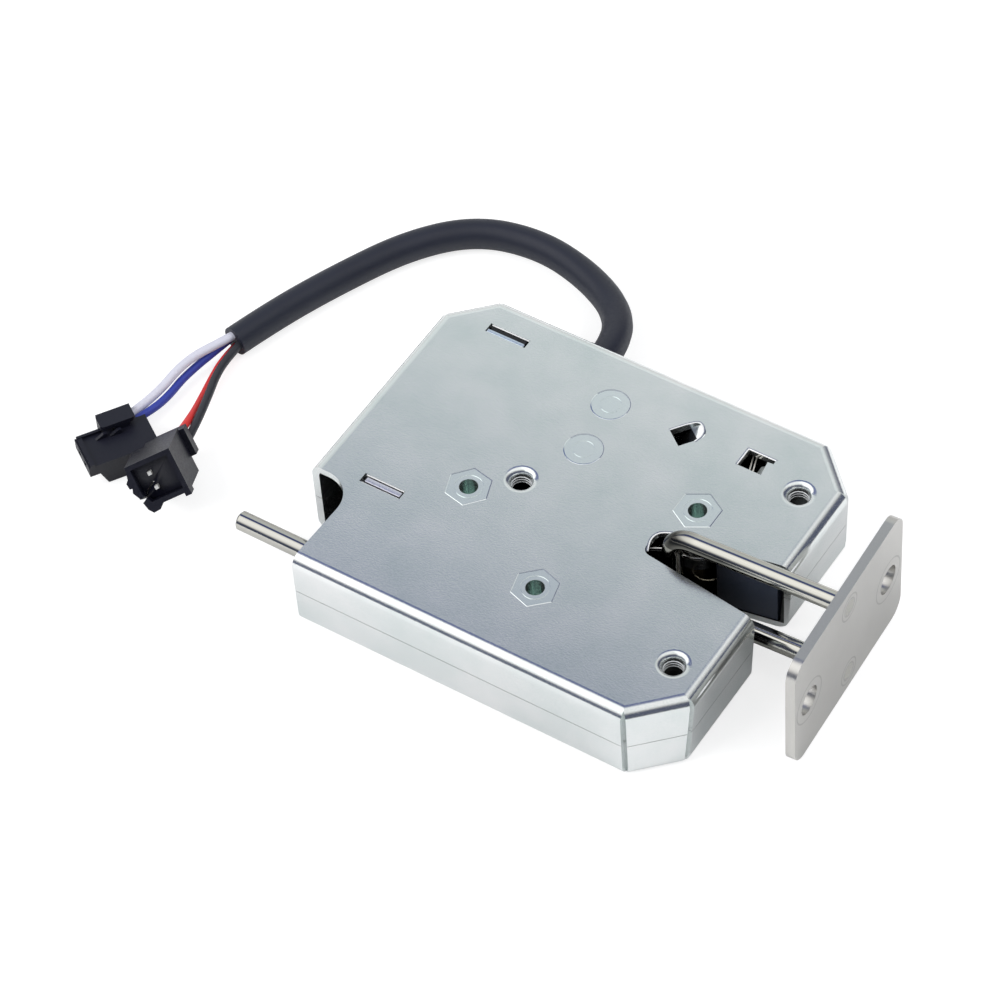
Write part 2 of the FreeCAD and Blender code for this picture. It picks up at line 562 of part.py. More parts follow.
def plunger():
    """A round iron plunger with a flat tongue in front and a spring bore in its inner end."""
    inner_y = CORE_FACE_Y - PLUNGER_GAP
    shoulder_y = YOKE_FRONT_Y - YOKE_T / 2 - 0.2
    body = cylinder(PLUNGER_R, (COIL_X, shoulder_y, COIL_Z), (COIL_X, inner_y, COIL_Z))
    tongue = box(COIL_X - PLUNGER_TONGUE_W / 2, PLUNGER_TONGUE_END_Y, COIL_Z - PLUNGER_TONGUE_T / 2,
                 COIL_X + PLUNGER_TONGUE_W / 2, shoulder_y + 0.5, COIL_Z + PLUNGER_TONGUE_T / 2)
    neck = cylinder(PLUNGER_R, (COIL_X, PLUNGER_TONGUE_END_Y, COIL_Z), (COIL_X, shoulder_y + 0.5, COIL_Z))
    bore = cylinder(SPRING_BORE_R, (COIL_X, inner_y - SPRING_BORE_L, COIL_Z), (COIL_X, inner_y + 1, COIL_Z))
    pin_hole = post(PLUNGER_PIN_R, (COIL_X, PLUNGER_PIN_Y), 0, BODY_H)
    return fused(body, tongue.common(neck)).cut([bore, pin_hole])


def plunger_pin():
    return post(PLUNGER_PIN_R, (COIL_X, PLUNGER_PIN_Y), COIL_Z - PLUNGER_TONGUE_T / 2 - 0.4, PIN_TOP_Z)


def helix_spring(radius, wire_r, pitch, turns):
    """An open coil about z, from z = 0 up, as one solid."""
    path = Part.makeHelix(pitch, pitch * turns, radius)
    along = V(0, 1, pitch / (2 * math.pi * radius))
    circle = Part.Wire(Part.Circle(V(radius, 0, 0), along, wire_r).toShape())
    return Part.Wire(path.Edges).makePipeShell([circle], True, True)


def plunger_spring():
    """Compressed between the core's face and the floor of the plunger's bore."""
    floor_y = CORE_FACE_Y - PLUNGER_GAP - SPRING_BORE_L
    wire_r, turns = PLUNGER_SPRING_WIRE_R, PLUNGER_SPRING_TURNS
    length = CORE_FACE_Y - floor_y - 2 * wire_r - 0.1
    spring = helix_spring(SPRING_BORE_R - wire_r - 0.12, wire_r, length / turns, turns)
    spring.rotate(V(0, 0, 0), V(1, 0, 0), -90)
    spring.translate(V(COIL_X, floor_y + wire_r + 0.05, COIL_Z))
    return spring


# Latch hook

def turned_slot(half, start, end):
    """A round-ended slot through the hook's plate, between two places that share an x or a y."""
    wide, deep = (0, half) if start[1] == end[1] else (half, 0)
    return fused(post(half, start, 0, BODY_H), post(half, end, 0, BODY_H),
                 box(start[0] - wide, start[1] - deep, 0, end[0] + wide, end[1] + deep, BODY_H))


def latch_hook():
    """One stamped plate: hub, claw arm, rod arm, plunger arm and switch finger."""
    root_back, tip, root_front = [[turned(p, HOOK_PIVOT, -HOOK_SWING) for p in points]
                                  for points in (CLAW_ROOT_BACK, CLAW_TIP, CLAW_ROOT_FRONT)]
    arms = [prism(points, HOOK_Z0, HOOK_Z1)
            for points in (root_back + tip + root_front, ROD_ARM, PLUNGER_ARM, SWITCH_FINGER)]
    plate = fused(post(HOOK_HUB_R, HOOK_PIVOT, HOOK_Z0, HOOK_Z1), *arms)
    plate = plate.makeFillet(HOOK_TIP_R, upright_edges(plate, tip + ROD_ARM_TIP + PLUNGER_ARM_TIP))
    plunger_slot = turned_slot(PLUNGER_PIN_R + HOOK_SLOT_GAP, (PLUNGER_SLOT_X0, PLUNGER_PIN_Y),
                               (PLUNGER_SLOT_X1, PLUNGER_PIN_Y))
    rod_slot = turned_slot(ROD_PIN_R + HOOK_SLOT_GAP, (ROD_PIN_X, ROD_SLOT_Y0), (ROD_PIN_X, ROD_SLOT_Y1))
    return plate.cut([plunger_slot, rod_slot, post(HOOK_BUSH_R, HOOK_PIVOT, 0, BODY_H)])


def hook_bush():
    return tube(HOOK_BUSH_R, BARREL_R + RUNNING_GAP, HOOK_PIVOT, HOOK_Z0 - HOOK_BUSH_STEP,
                HOOK_Z1 + HOOK_BUSH_STEP)


def hook_spacer():
    top = HOOK_Z0 - HOOK_BUSH_STEP - FIT_GAP
    return tube(HOOK_SPACER_R, BARREL_R + SPACER_GAP, HOOK_PIVOT, IN_Z0 + FIT_GAP, top)


def torsion_spring(place, radius, z0, z1, turns, first_angle, first_length, last_length):
    """A close coil with a straight leg at each end, leaving it along its tangent."""
    pitch = (z1 - z0 - 2 * SPRING_WIRE_R) / turns
    path = Part.makeHelix(pitch, pitch * turns, radius)
    lift = V(0, 1, pitch / (2 * math.pi * radius))
    circle = Part.Wire(Part.Circle(V(radius, 0, 0), lift, SPRING_WIRE_R).toShape())
    coil = Part.Wire(path.Edges).makePipeShell([circle], True, True)
    first = Part.makeCylinder(SPRING_WIRE_R, first_length, V(radius, 0, 0), lift * -1)
    last = Part.makeCylinder(SPRING_WIRE_R, last_length, V(radius, 0, pitch * turns), lift)
    last.rotate(V(0, 0, 0), UP, 360 * (turns % 1))
    spring = fused(coil, first, last)
    spring.rotate(V(0, 0, 0), UP, first_angle)
    spring.translate(V(place[0], place[1], z0 + SPRING_WIRE_R))
    return spring


def hook_spring():
    return torsion_spring(HOOK_PIVOT, HOOK_SPRING_R, HOOK_SPRING_Z0, HOOK_SPRING_Z1, HOOK_SPRING_TURNS,
                          HOOK_SPRING_ANGLE, HOOK_SPRING_LEG, HOOK_SPRING_LEG)


def kicker_spring():
    """Its long leg lies on top and shows through the inner end of the slot."""
    z0, z1 = KICKER_SPRING_Z0, KICKER_SPRING_Z1
    spring = torsion_spring(KICKER_PIVOT, KICKER_SPRING_R, z0, z1, KICKER_SPRING_TURNS, KICKER_SPRING_ANGLE,
                            KICKER_SPRING_LONG_LEG, KICKER_SPRING_SHORT_LEG)
    return spring.mirror(V(0, 0, (z0 + z1) / 2), UP)


# Release rod

def release_rod():
    rod = cylinder(ROD_R, (ROD_TIP_X, ROD_Y, ROD_Z), (ROD_END_X, ROD_Y, ROD_Z))
    rims = [e for e in rod.Edges if isinstance(e.Curve, Part.Circle)]
    rod = rod.makeChamfer(ROD_CHAMFER, rims)
    return rod.cut(post(ROD_PIN_R, (ROD_PIN_X, ROD_Y), 0, BODY_H))


def rod_pin():
    return post(ROD_PIN_R, (ROD_PIN_X, ROD_Y), ROD_Z - ROD_R, PIN_TOP_Z)


def rod_collar():
    """A ring pressed on the rod: it meets the guide when the rod is pulled out."""
    x0, x1 = GUIDE_X1 + COLLAR_GAP, GUIDE_X1 + COLLAR_GAP + COLLAR_L
    ring = cylinder(COLLAR_R, (x0, ROD_Y, ROD_Z), (x1, ROD_Y, ROD_Z))
    return ring.cut(cylinder(ROD_R, (x0 - 1, ROD_Y, ROD_Z), (x1 + 1, ROD_Y, ROD_Z)))


def rod_guide():
    block = box(GUIDE_X0, GUIDE_Y0, IN_Z0 + FIT_GAP, GUIDE_X1, GUIDE_Y1, IN_Z1 - FIT_GAP)
    corners = [(GUIDE_X0, GUIDE_Y1), (GUIDE_X1, GUIDE_Y1), (GUIDE_X1, GUIDE_Y0)]
    block = block.makeFillet(GUIDE_CORNER_R, upright_edges(block, corners))
    bore_r = ROD_R + GUIDE_BORE_GAP
    return block.cut(cylinder(bore_r, (GUIDE_X0 - 1, ROD_Y, ROD_Z), (GUIDE_X1 + 1, ROD_Y, ROD_Z)))


# Kicker that pushes the striker out

def striker_kicker():
    hub = post(KICKER_HUB_R, KICKER_PIVOT, KICKER_Z0, KICKER_Z1)
    plate = fused(hub, prism(KICKER_ARM, KICKER_Z0, KICKER_Z1))
    return plate.cut(post(BARREL_R + RUNNING_GAP, KICKER_PIVOT, 0, BODY_H))


def kicker_spacer():
    return tube(KICKER_SPACER_R, BARREL_R + SPACER_GAP, KICKER_PIVOT, IN_Z0 + FIT_GAP, KICKER_Z0 - FIT_GAP)


def slot_guide():
    """A black moulded block behind the slot's far edge, which the striker runs along."""
    x0, x1, back = SLOT_GUIDE_X0, SLOT_GUIDE_X1, SLOT_GUIDE_BACK_Y
    edge = [slot_edge(x, SLOT_END_Y1, MOUTH_Y1) + SLOT_GUIDE_GAP for x in (x0, x1)]
    block = prism([(x0, edge[0]), (x1, edge[1]), (x1, back), (x0, back)], IN_Z0 + FIT_GAP, IN_Z1 - FIT_GAP)
    corners = [(x0, edge[0]), (x1, back), (x0, back)]
    return block.makeFillet(SLOT_GUIDE_CORNER_R, upright_edges(block, corners))


# Micro switch, in its own frame: length along y, button side at -x, pins at x = 0

def at_switch(shape):
    (xa, ya), (xb, yb) = SWITCH_PINS
    turn = math.degrees(math.atan2(ya - yb, xa - xb)) - 90
    shape.rotate(V(0, 0, 0), UP, turn)
    shape.translate(V((xa + xb) / 2, (ya + yb) / 2, 0))
    return shape


def pin_distance():
    (xa, ya), (xb, yb) = SWITCH_PINS
    return math.hypot(xa - xb, ya - yb)


def switch_body():
    half = SWITCH_L / 2
    case = box(SWITCH_FACE, -half, SWITCH_Z0, SWITCH_PIN_EDGE, half, SWITCH_Z1)
    case = case.makeFillet(SWITCH_CORNER_R, rising_edges(case))
    holes = [post(SWITCH_PIN_R, (0, s * pin_distance() / 2), 0, BODY_H) for s in (-1, 1)]
    return at_switch(case.cut(holes + [button_block(1.0, BUTTON_HOLE_DEPTH, BUTTON_W / 2 + BUTTON_GAP)]))


def button_block(out, inward, half):
    """A square block through the switch's button face."""
    return box(SWITCH_FACE - out, BUTTON_Y - half, BUTTON_Z - half, SWITCH_FACE + inward, BUTTON_Y + half,
               BUTTON_Z + half)


def switch_button():
    return at_switch(button_block(BUTTON_OUT, BUTTON_IN, BUTTON_W / 2))


def switch_lever():
    """A spring-steel blade hinged at the far end of the switch, pressed home in the released place."""
    near = SWITCH_FACE - LEVER_CLEARANCE
    far = near - LEVER_T
    blade = prism([(far, LEVER_ROOT_Y), (far, LEVER_BEND_Y)] + [(near + x, y) for x, y in LEVER_LIP]
                  + [(near, LEVER_BEND_Y), (near, LEVER_ROOT_Y)], LEVER_Z0, LEVER_Z1)
    return at_switch(fused(blade, post(LEVER_HINGE_R, ((near + far) / 2, LEVER_ROOT_Y), LEVER_Z0, LEVER_Z1)))


def switch_terminals():
    blades = []
    z = (SWITCH_Z0 + SWITCH_Z1) / 2
    for y in TERMINAL_YS:
        blades.append(box(SWITCH_PIN_EDGE, y - TERMINAL_T / 2, z - TERMINAL_W / 2,
                          SWITCH_PIN_EDGE + TERMINAL_L, y + TERMINAL_T / 2, z + TERMINAL_W / 2))
    return at_switch(Part.makeCompound(blades))


def switch_pin(place):
    """A pin with a flush head, riveted into the top sheet."""
    shoulder = BODY_H - SWITCH_RIVET_T
    head = post(SWITCH_RIVET_R - SWITCH_RIVET_GAP, place, shoulder, BODY_H)
    pin = fused(head, post(SWITCH_PIN_R, place, SWITCH_Z0 - 0.5, shoulder))
    ring_z = BODY_H - RIVET_RING_DEPTH
    return pin.cut(tube(RIVET_RING_R, RIVET_RING_R - RIVET_RING_W, place, ring_z, BODY_H + 1))


# Striker, in its own frame: bar at the origin, plate towards +x

def at_striker(shape):
    a = math.radians(STRIKER_YAW)
    shape.rotate(V(0, 0, 0), UP, STRIKER_YAW)
    shape.translate(V(PLATE_FACE_X - BOW_REACH * math.cos(a), PLATE_FACE_Y - BOW_REACH * math.sin(a), 0))
    return shape


def striker_bow():
    """A round wire bent to a U, with its two ends riveted flush in the plate."""
    z_mid = PLATE_H / 2
    low, high = z_mid - BOW_SPACING / 2, z_mid + BOW_SPACING / 2
    r, bend = BOW_REACH, BOW_BEND_R
    k = bend * (1 - math.sqrt(0.5))
    path = Part.Wire([
        Part.makeLine(V(r, 0, high), V(bend, 0, high)),
        Part.Arc(V(bend, 0, high), V(k, 0, high - k), V(0, 0, high - bend)).toShape(),
        Part.makeLine(V(0, 0, high - bend), V(0, 0, low + bend)),
        Part.Arc(V(0, 0, low + bend), V(k, 0, low + k), V(bend, 0, low)).toShape(),
        Part.makeLine(V(bend, 0, low), V(r, 0, low)),
    ])
    section = Part.Wire(Part.Circle(V(r, 0, high), V(1, 0, 0), BOW_R).toShape())
    bow = path.makePipeShell([section], True, True)
    trim = []
    for z in (low, high):
        ring = cylinder(BOW_R + RIVET_GROOVE_OUT, (r - PLATE_T, 0, z), (r + 1, 0, z))
        trim.append(ring.cut(cylinder(BOW_R - RIVET_GROOVE_IN, (r - PLATE_T - 1, 0, z), (r + 2, 0, z))))
    return at_striker(bow.cut(trim))


def striker_plate():
    half = PLATE_L / 2
    plate = box(BOW_REACH - PLATE_T, -half, 0, BOW_REACH, half, PLATE_H)
    corners = [e for e in plate.Edges if abs(e.Vertexes[0].X - e.Vertexes[-1].X) > 1]
    plate = plate.makeFillet(PLATE_CORNER_R, corners)
    x0, x1, z_mid = BOW_REACH - 3, BOW_REACH + 1, PLATE_H / 2
    cutters = []
    for side in (-1, 1):
        y, z = side * PLATE_HOLE_SPACING / 2, z_mid + side * BOW_SPACING / 2
        cutters.append(cylinder(PLATE_HOLE_R, (x0, y, z_mid), (x1, y, z_mid)))
        cutters.append(cylinder(BOW_R - RIVET_GROOVE_IN, (x0, 0, z), (x1, 0, z)))
    return at_striker(plate.cut(cutters))


# Lead

def arc_points(points):
    """Tangent arc at each inner point, as large as its two runs allow."""
    arcs = []
    for before, here, after in zip(points, points[1:], points[2:]):
        back, ahead = before - here, after - here
        half_turn = (math.pi - back.getAngle(ahead)) / 2
        reach = 0.45 * min(back.Length, ahead.Length)
        start, end = here + back.normalize() * reach, here + ahead.normalize() * reach
        radius = reach / math.tan(half_turn)
        bisector = (back + ahead).normalize()
        middle = here + bisector * (radius / math.cos(half_turn) - radius)
        arcs.append((start, middle, end, radius, math.degrees(2 * half_turn)))
    return arcs


def cord(name, route, radius):
    """A round cord along straight runs joined by tangent arcs."""
    points = [V(*p) for p in route]
    arcs = arc_points(points)
    edges = []
    here = points[0]
    for start, middle, end, _, _ in arcs:
        edges += [Part.makeLine(here, start), Part.Arc(start, middle, end).toShape()]
        here = end
    edges.append(Part.makeLine(here, points[-1]))
    path = Part.Wire(edges)
    section = Part.Wire(Part.Circle(points[0], points[1] - points[0], radius).toShape())
    solid = path.makePipeShell([section], True, False)
    share = solid.Volume / (math.pi * radius ** 2 * path.Length)
    print(name, "length", round(path.Length, 1), "radii", [round(a[3], 1) for a in arcs],
          "turns", [round(a[4]) for a in arcs], "volume share", round(share, 4))
    return solid


def cable_grommet(sleeve):
    """A bush in the back wall with a flange on each side; the sleeve is seated in its mouth."""
    x = SLEEVE_EXIT[0]
    outer = SLEEVE_R + GROMMET_GAP - FIT_GAP
    wall_in, wall_out = BODY_Y1 - SHEET - FIT_GAP, BODY_Y1 + FIT_GAP
    inside = cylinder(outer + GROMMET_FLANGE, (x, wall_in - GROMMET_INNER_T, SEAM_Z), (x, wall_in, SEAM_Z))
    neck = cylinder(outer, (x, wall_in, SEAM_Z), (x, wall_out, SEAM_Z))
    flange = cylinder(outer + GROMMET_FLANGE, (x, wall_out, SEAM_Z), (x, GROMMET_FACE_Y, SEAM_Z))
    return fused(inside, neck, flange).cut(sleeve)


# Connectors

def placed(shape, corner, azimuth, tilt, roll):
    shape.rotate(V(0, 0, 0), V(1, 0, 0), roll)
    shape.rotate(V(0, 0, 0), V(0, 1, 0), tilt)
    shape.rotate(V(0, 0, 0), UP, azimuth)
    shape.translate(V(*corner))
    return shape


def plug_housing(wires):
    """The closed connector: a flat nose, a full rear, a ledge for the wires and a latch plate on ribs."""
    body = side_profile([(0, 0), (0, -PLUG_NOSE_H), (PLUG_NOSE_L, -PLUG_NOSE_H), (PLUG_SLOPE_END, -PLUG_H),
                         (PLUG_L, -PLUG_H), (PLUG_L, 0)], -PLUG_W, 0)
    body = body.makeChamfer(PLUG_CHAMFER, upright_edges(body, [(PLUG_L, -PLUG_W)]))
    latch = box(*PLUG_LATCH)
    latch = latch.makeFillet(PLUG_LATCH_R, rising_edges(latch))
    ribs = [side_profile([(x + dx, z) for dx, z in PLUG_RIB], y, y + PLUG_RIB_W) for x, y in PLUG_RIB_PLACES]
    rims = [box(*rim) for rim in PLUG_RIMS]
    mouths = []
    for side in (-1, 1):
        y0 = -PLUG_W / 2 + side * CONTACT_PITCH / 2 - PLUG_MOUTH_W / 2
        mouths.append(box(-1, y0, PLUG_MOUTH_Z0, PLUG_MOUTH_DEPTH, y0 + PLUG_MOUTH_W, PLUG_MOUTH_Z1))
    whole = fused(body, box(*PLUG_LEDGE), latch, box(*PLUG_LATCH_FOOT), *(ribs + rims)).cut(mouths)
    return placed(whole, PLUG_CORNER, PLUG_AZIMUTH, 0, 0).cut(wires)


def end_profile(points, x, run):
    """A shape with its outline given in y and z, standing at x and drawn out along run."""
    corners = [V(x, y, z) for y, z in points]
    return Part.Face(Part.makePolygon(corners + corners[:1])).extrude(V(*run))


def socket_housing(wires):
    """The open connector: a deep mouth inside a latch guard that a slanting slit divides from the floor
    wall, and an offset block where the wires go in."""
    shell = box(SOCKET_FACE_X, 0, -SOCKET_H, SOCKET_L, SOCKET_W, 0)
    guard = end_profile(SOCKET_GUARD, SOCKET_FACE_X, (SOCKET_FLOOR_X - SOCKET_FACE_X, 0, 0))
    mouth = end_profile(SOCKET_MOUTH, SOCKET_FACE_X, (SOCKET_FLOOR_X - SOCKET_FACE_X, 0, 0))
    slit = end_profile(SOCKET_SLIT, SOCKET_FACE_X, SOCKET_SLIT_RUN)
    whole = fused(fused(shell, guard, box(*SOCKET_LIP)).cut([mouth, slit]), box(*SOCKET_TAIL))
    return placed(whole, SOCKET_CORNER, *SOCKET_TURNS).cut(wires)


def socket_pins():
    pins = []
    half = SOCKET_PIN_HALF
    y = SOCKET_PIN_Y
    for side in (-1, 1):
        z = -SOCKET_H / 2 + side * CONTACT_PITCH / 2
        pins.append(box(SOCKET_PIN_TIP_X, y - half, z - half, SOCKET_FLOOR_X, y + half, z + half))
    return placed(Part.makeCompound(pins), SOCKET_CORNER, *SOCKET_TURNS)


def main():
    os.makedirs("parts", exist_ok=True)
    save("top_shell", top_shell())
    save("bottom_shell", bottom_shell())
    for name, (place, turn) in STANDOFFS.items():
        save(name, standoff(place, turn))
    save("housing_screws", Part.makeCompound([housing_screw(place) for place, _ in STANDOFFS.values()]))
    save("solenoid_yoke", solenoid_yoke())
    save("solenoid_bobbin", solenoid_bobbin())
    save("solenoid_coil", solenoid_coil())
    save("solenoid_core", solenoid_core())
    save("plunger", plunger())
    save("plunger_pin", plunger_pin())
    save("plunger_spring", plunger_spring())
    save("latch_hook", latch_hook())
    save("hook_bush", hook_bush())
    save("hook_spacer", hook_spacer())
    save("hook_spring", hook_spring())
    save("release_rod", release_rod())
    save("rod_pin", rod_pin())
    save("rod_collar", rod_collar())
    save("rod_guide", rod_guide())
    save("striker_kicker", striker_kicker())
    save("kicker_spacer", kicker_spacer())
    save("kicker_spring", kicker_spring())
    save("slot_guide", slot_guide())
    save("switch_body", switch_body())
    save("switch_pins", Part.makeCompound([switch_pin(place) for place in SWITCH_PINS]))
    save("switch_button", switch_button())
    save("switch_lever", switch_lever())
    save("switch_terminals", switch_terminals())
    save("striker_bow", striker_bow())
    save("striker_plate", striker_plate())
    wires = {name: cord(name, route, WIRE_R) for name, route in WIRE_ROUTES.items()}
    sleeve = cord("cable_sleeve", SLEEVE_ROUTE, SLEEVE_R).cut(list(wires.values()))
    for name, wire in wires.items():
        save(name, wire)
    save("cable_sleeve", sleeve)
    save("cable_grommet", cable_grommet(sleeve))
    save("plug_housing", plug_housing([wires["wire_white"], wires["wire_blue"]]))
    save("socket_housing", socket_housing([wires["wire_red"], wires["wire_black"]]))
    save("socket_pins", socket_pins())


main()
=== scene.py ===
# %% [markdown]
# # An electromechanical cabinet lock, dressed in Blender
# The lock's solids come from CAD with their sizes and joints already right.
# This lesson loads them as a fixed frame, sets up the camera and the studio, gives every
# piece its finish, some with painted shade and light, and models by hand the small things that the solids
# leave plain:
# screw threads, rolled hole edges with painted highlight and dark lines, spring wire, a black wall that
# stands in for the shade in the socket's mouth, and the soft lead.

# %% Load the imported solids
import math
import bpy
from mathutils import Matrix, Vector


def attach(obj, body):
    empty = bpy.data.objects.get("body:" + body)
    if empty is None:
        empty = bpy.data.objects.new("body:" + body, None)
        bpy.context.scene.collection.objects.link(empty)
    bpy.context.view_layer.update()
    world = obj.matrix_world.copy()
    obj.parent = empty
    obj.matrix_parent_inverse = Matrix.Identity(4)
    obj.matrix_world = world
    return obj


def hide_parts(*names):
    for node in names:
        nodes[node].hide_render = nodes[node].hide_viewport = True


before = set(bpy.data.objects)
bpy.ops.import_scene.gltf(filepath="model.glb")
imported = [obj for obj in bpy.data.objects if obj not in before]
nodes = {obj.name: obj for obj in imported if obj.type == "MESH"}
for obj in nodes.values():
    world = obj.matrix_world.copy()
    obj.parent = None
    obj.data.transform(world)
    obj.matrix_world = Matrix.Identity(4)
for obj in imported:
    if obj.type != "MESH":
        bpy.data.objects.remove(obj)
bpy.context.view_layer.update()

MM = 0.001

# %% [markdown]
# ## Camera
# The picture was taken from far away with a long lens, so the case's edges stay almost
# parallel. The lens, the place and the three turns below were measured from those edges.

# %% Camera
IMAGE_PX = 1000
LENS_PX = 4245.85
SENSOR_MM = 36
CAMERA_PLACE = (0.23616, -0.34239, 0.5152)
CAMERA_TURNS = (39.839, 3.019, 32.639)
NEAREST = 0.02
camera_data = bpy.data.cameras.new("camera")
camera_data.sensor_fit = "HORIZONTAL"
camera_data.sensor_width = SENSOR_MM
camera_data.lens = LENS_PX * SENSOR_MM / IMAGE_PX
camera_data.clip_start = NEAREST
camera = bpy.data.objects.new("camera", camera_data)
bpy.context.scene.collection.objects.link(camera)
camera.location = CAMERA_PLACE
camera.rotation_euler = [math.radians(turn) for turn in CAMERA_TURNS]
bpy.context.scene.camera = camera
print("lens", round(camera_data.lens, 1), "mm")

# %% [markdown]
# ## Studio
# Bright plating has hardly any colour of its own: it shows what stands round it. The room
# below has a light back wall, a dark gap just behind the point straight above, a bright roof
# that leans to the front, and darkness low down in front and up to mid height on the right.
# The gap is what draws the thin dark line beside each white bend. Only reflections see this
# room: the camera sees plain white, and matte parts get an even light.

# %% Node helpers
def link(tree, a, b):
    tree.links.new(a, b)


def ramp(tree, value, stops, interpolation="LINEAR"):
    """A colour ramp on value, with stops given as (place, grey or colour)."""
    node = tree.nodes.new("ShaderNodeValToRGB")
    node.color_ramp.interpolation = interpolation
    elements = node.color_ramp.elements
    while len(elements) < len(stops):
        elements.new(0.5)
    for element, (place, colour) in zip(elements, stops):
        element.position = place
        element.color = (colour, colour, colour, 1) if isinstance(colour, float) else (*colour, 1)
    link(tree, value, node.inputs["Fac"])
    return node.outputs["Color"]


def feed(tree, socket, value):
    """Give a socket its value, which is another node's output or plain numbers."""
    if isinstance(value, bpy.types.NodeSocket):
        link(tree, value, socket)
    else:
        socket.default_value = value


def maths(tree, operation, *values):
    """One maths node; its values are sockets or plain numbers."""
    node = tree.nodes.new("ShaderNodeMath")
    node.operation = operation
    for socket, value in zip(node.inputs, values):
        feed(tree, socket, value)
    return node.outputs[0]


def blend(tree, kind, factor, first, second):
    """A colour mix of the given kind; the factor is a socket or a plain number."""
    node = tree.nodes.new("ShaderNodeMix")
    node.data_type = "RGBA"
    node.blend_type = kind
    node.clamp_factor = True
    feed(tree, node.inputs[0], factor)
    link(tree, first, node.inputs[6])
    link(tree, second, node.inputs[7])
    return node.outputs[2]


def background(tree, colour, strength):
    """Light from all round, of one colour or of a socket's."""
    node = tree.nodes.new("ShaderNodeBackground")
    feed(tree, node.inputs["Color"], (*colour, 1) if isinstance(colour, tuple) else colour)
    feed(tree, node.inputs["Strength"], strength)
    return node.outputs[0]


def choose(tree, factor, first, second):
    """The first shader where the factor is 0, the second where it is 1."""
    node = tree.nodes.new("ShaderNodeMixShader")
    for socket, value in zip(node.inputs, (factor, first, second)):
        link(tree, value, socket)
    return node.outputs[0]


# %% World
SLATE, DEEP, SHADY = (0.09, 0.12, 0.28), (0.09, 0.11, 0.17), (0.06, 0.07, 0.12)
# Degrees from straight up, minus to the back and plus to the front, and how bright it is there
ROOF = [(-95, 0.62), (-74, 0.72), (-56, (0.75, 0.78, 0.78)), (-45, (0.76, 0.80, 0.81)),
        (-37, (0.66, 0.70, 0.695)), (-33, (0.56, 0.595, 0.60)), (-30, SLATE), (-12, SLATE),
        (-6, 1.2), (10, 1.5), (46, 1.35), (58, 0.75), (67, DEEP), (98, DEEP)]
# How steeply a direction points up, and how bright it is there on the right
RIGHT_WALL = [(0.0, 0.3), (0.1, SHADY), (0.6, SHADY), (0.72, 0.5), (0.85, 1.0)]
RIGHT_TURNOVER = 4.0
MATTE_LIGHT, MATTE_STRENGTH, WHITE = (0.95, 0.97, 1.0), 0.55, (1, 1, 1)


def over_the_roof(degrees):
    """Ramp place of an angle measured from straight up: minus leans to the back, plus to the front."""
    return (degrees / 180 + 1) / 2


world = bpy.data.worlds.new("studio")
bpy.context.scene.world = world
world.use_nodes = True
tree = world.node_tree
tree.nodes.clear()
split = tree.nodes.new("ShaderNodeSeparateXYZ")
link(tree, tree.nodes.new("ShaderNodeTexCoord").outputs["Generated"], split.inputs[0])
to_front = maths(tree, "MULTIPLY", split.outputs["Y"], -1.0)
back_to_front = maths(tree, "ARCTAN2", to_front, split.outputs["Z"])
roof_place = maths(tree, "MULTIPLY_ADD", back_to_front, 0.5 / math.pi, 0.5)
roof = ramp(tree, roof_place, [(over_the_roof(degrees), shade) for degrees, shade in ROOF])
right_side = ramp(tree, split.outputs["Z"], RIGHT_WALL)
to_right = maths(tree, "MULTIPLY_ADD", split.outputs["X"], RIGHT_TURNOVER, 0.5)
room = background(tree, blend(tree, "MIX", to_right, roof, right_side), 1.0)
rays = tree.nodes.new("ShaderNodeLightPath").outputs
lit = choose(tree, rays["Is Glossy Ray"], background(tree, MATTE_LIGHT, MATTE_STRENGTH), room)
for ray in ("Is Transmission Ray", "Is Camera Ray"):
    lit = choose(tree, rays[ray], lit, background(tree, WHITE, 1.0))
world_out = tree.nodes.new("ShaderNodeOutputWorld")
link(tree, lit, world_out.inputs[0])
bpy.context.scene.view_settings.view_transform = "Standard"
print("world set")

# %% Floor
FLOOR_SIZE, FLOOR_Z = 6, -0.00005
PAPER_SEEN, PAPER_GLOW, PAPER_LIT = 0.42, 0.72, 0.85


def diffuse(tree, grey):
    node = tree.nodes.new("ShaderNodeBsdfDiffuse")
    node.inputs["Color"].default_value = (grey, grey, grey, 1)
    return node.outputs[0]


bpy.ops.object.select_all(action="DESELECT")
bpy.ops.mesh.primitive_plane_add(size=FLOOR_SIZE, location=(0, 0, FLOOR_Z))
floor = bpy.context.object
floor.name = "floor"
paper = bpy.data.materials.new("white paper")
paper.use_nodes = True
tree = paper.node_tree
tree.nodes.clear()
glow = tree.nodes.new("ShaderNodeEmission")
glow.inputs["Strength"].default_value = PAPER_GLOW
seen = tree.nodes.new("ShaderNodeAddShader")
link(tree, diffuse(tree, PAPER_SEEN), seen.inputs[0])
link(tree, glow.outputs[0], seen.inputs[1])
camera_ray = tree.nodes.new("ShaderNodeLightPath").outputs["Is Camera Ray"]
sheet = choose(tree, camera_ray, diffuse(tree, PAPER_LIT), seen.outputs[0])
paper_out = tree.nodes.new("ShaderNodeOutputMaterial")
link(tree, sheet, paper_out.inputs[0])
floor.data.materials.append(paper)
print("floor laid at the resting surface")


# %% Lamps
def softbox(name, place, target, size, watts):
    data = bpy.data.lights.new(name, "AREA")
    data.shape = "RECTANGLE"
    data.size, data.size_y = size
    data.energy = watts
    lamp = bpy.data.objects.new(name, data)
    bpy.context.scene.collection.objects.link(lamp)
    lamp.location = place
    lamp.rotation_euler = (Vector(target) - Vector(place)).to_track_quat("-Z", "Y").to_euler()
    lamp.visible_camera = lamp.visible_glossy = False
    return lamp


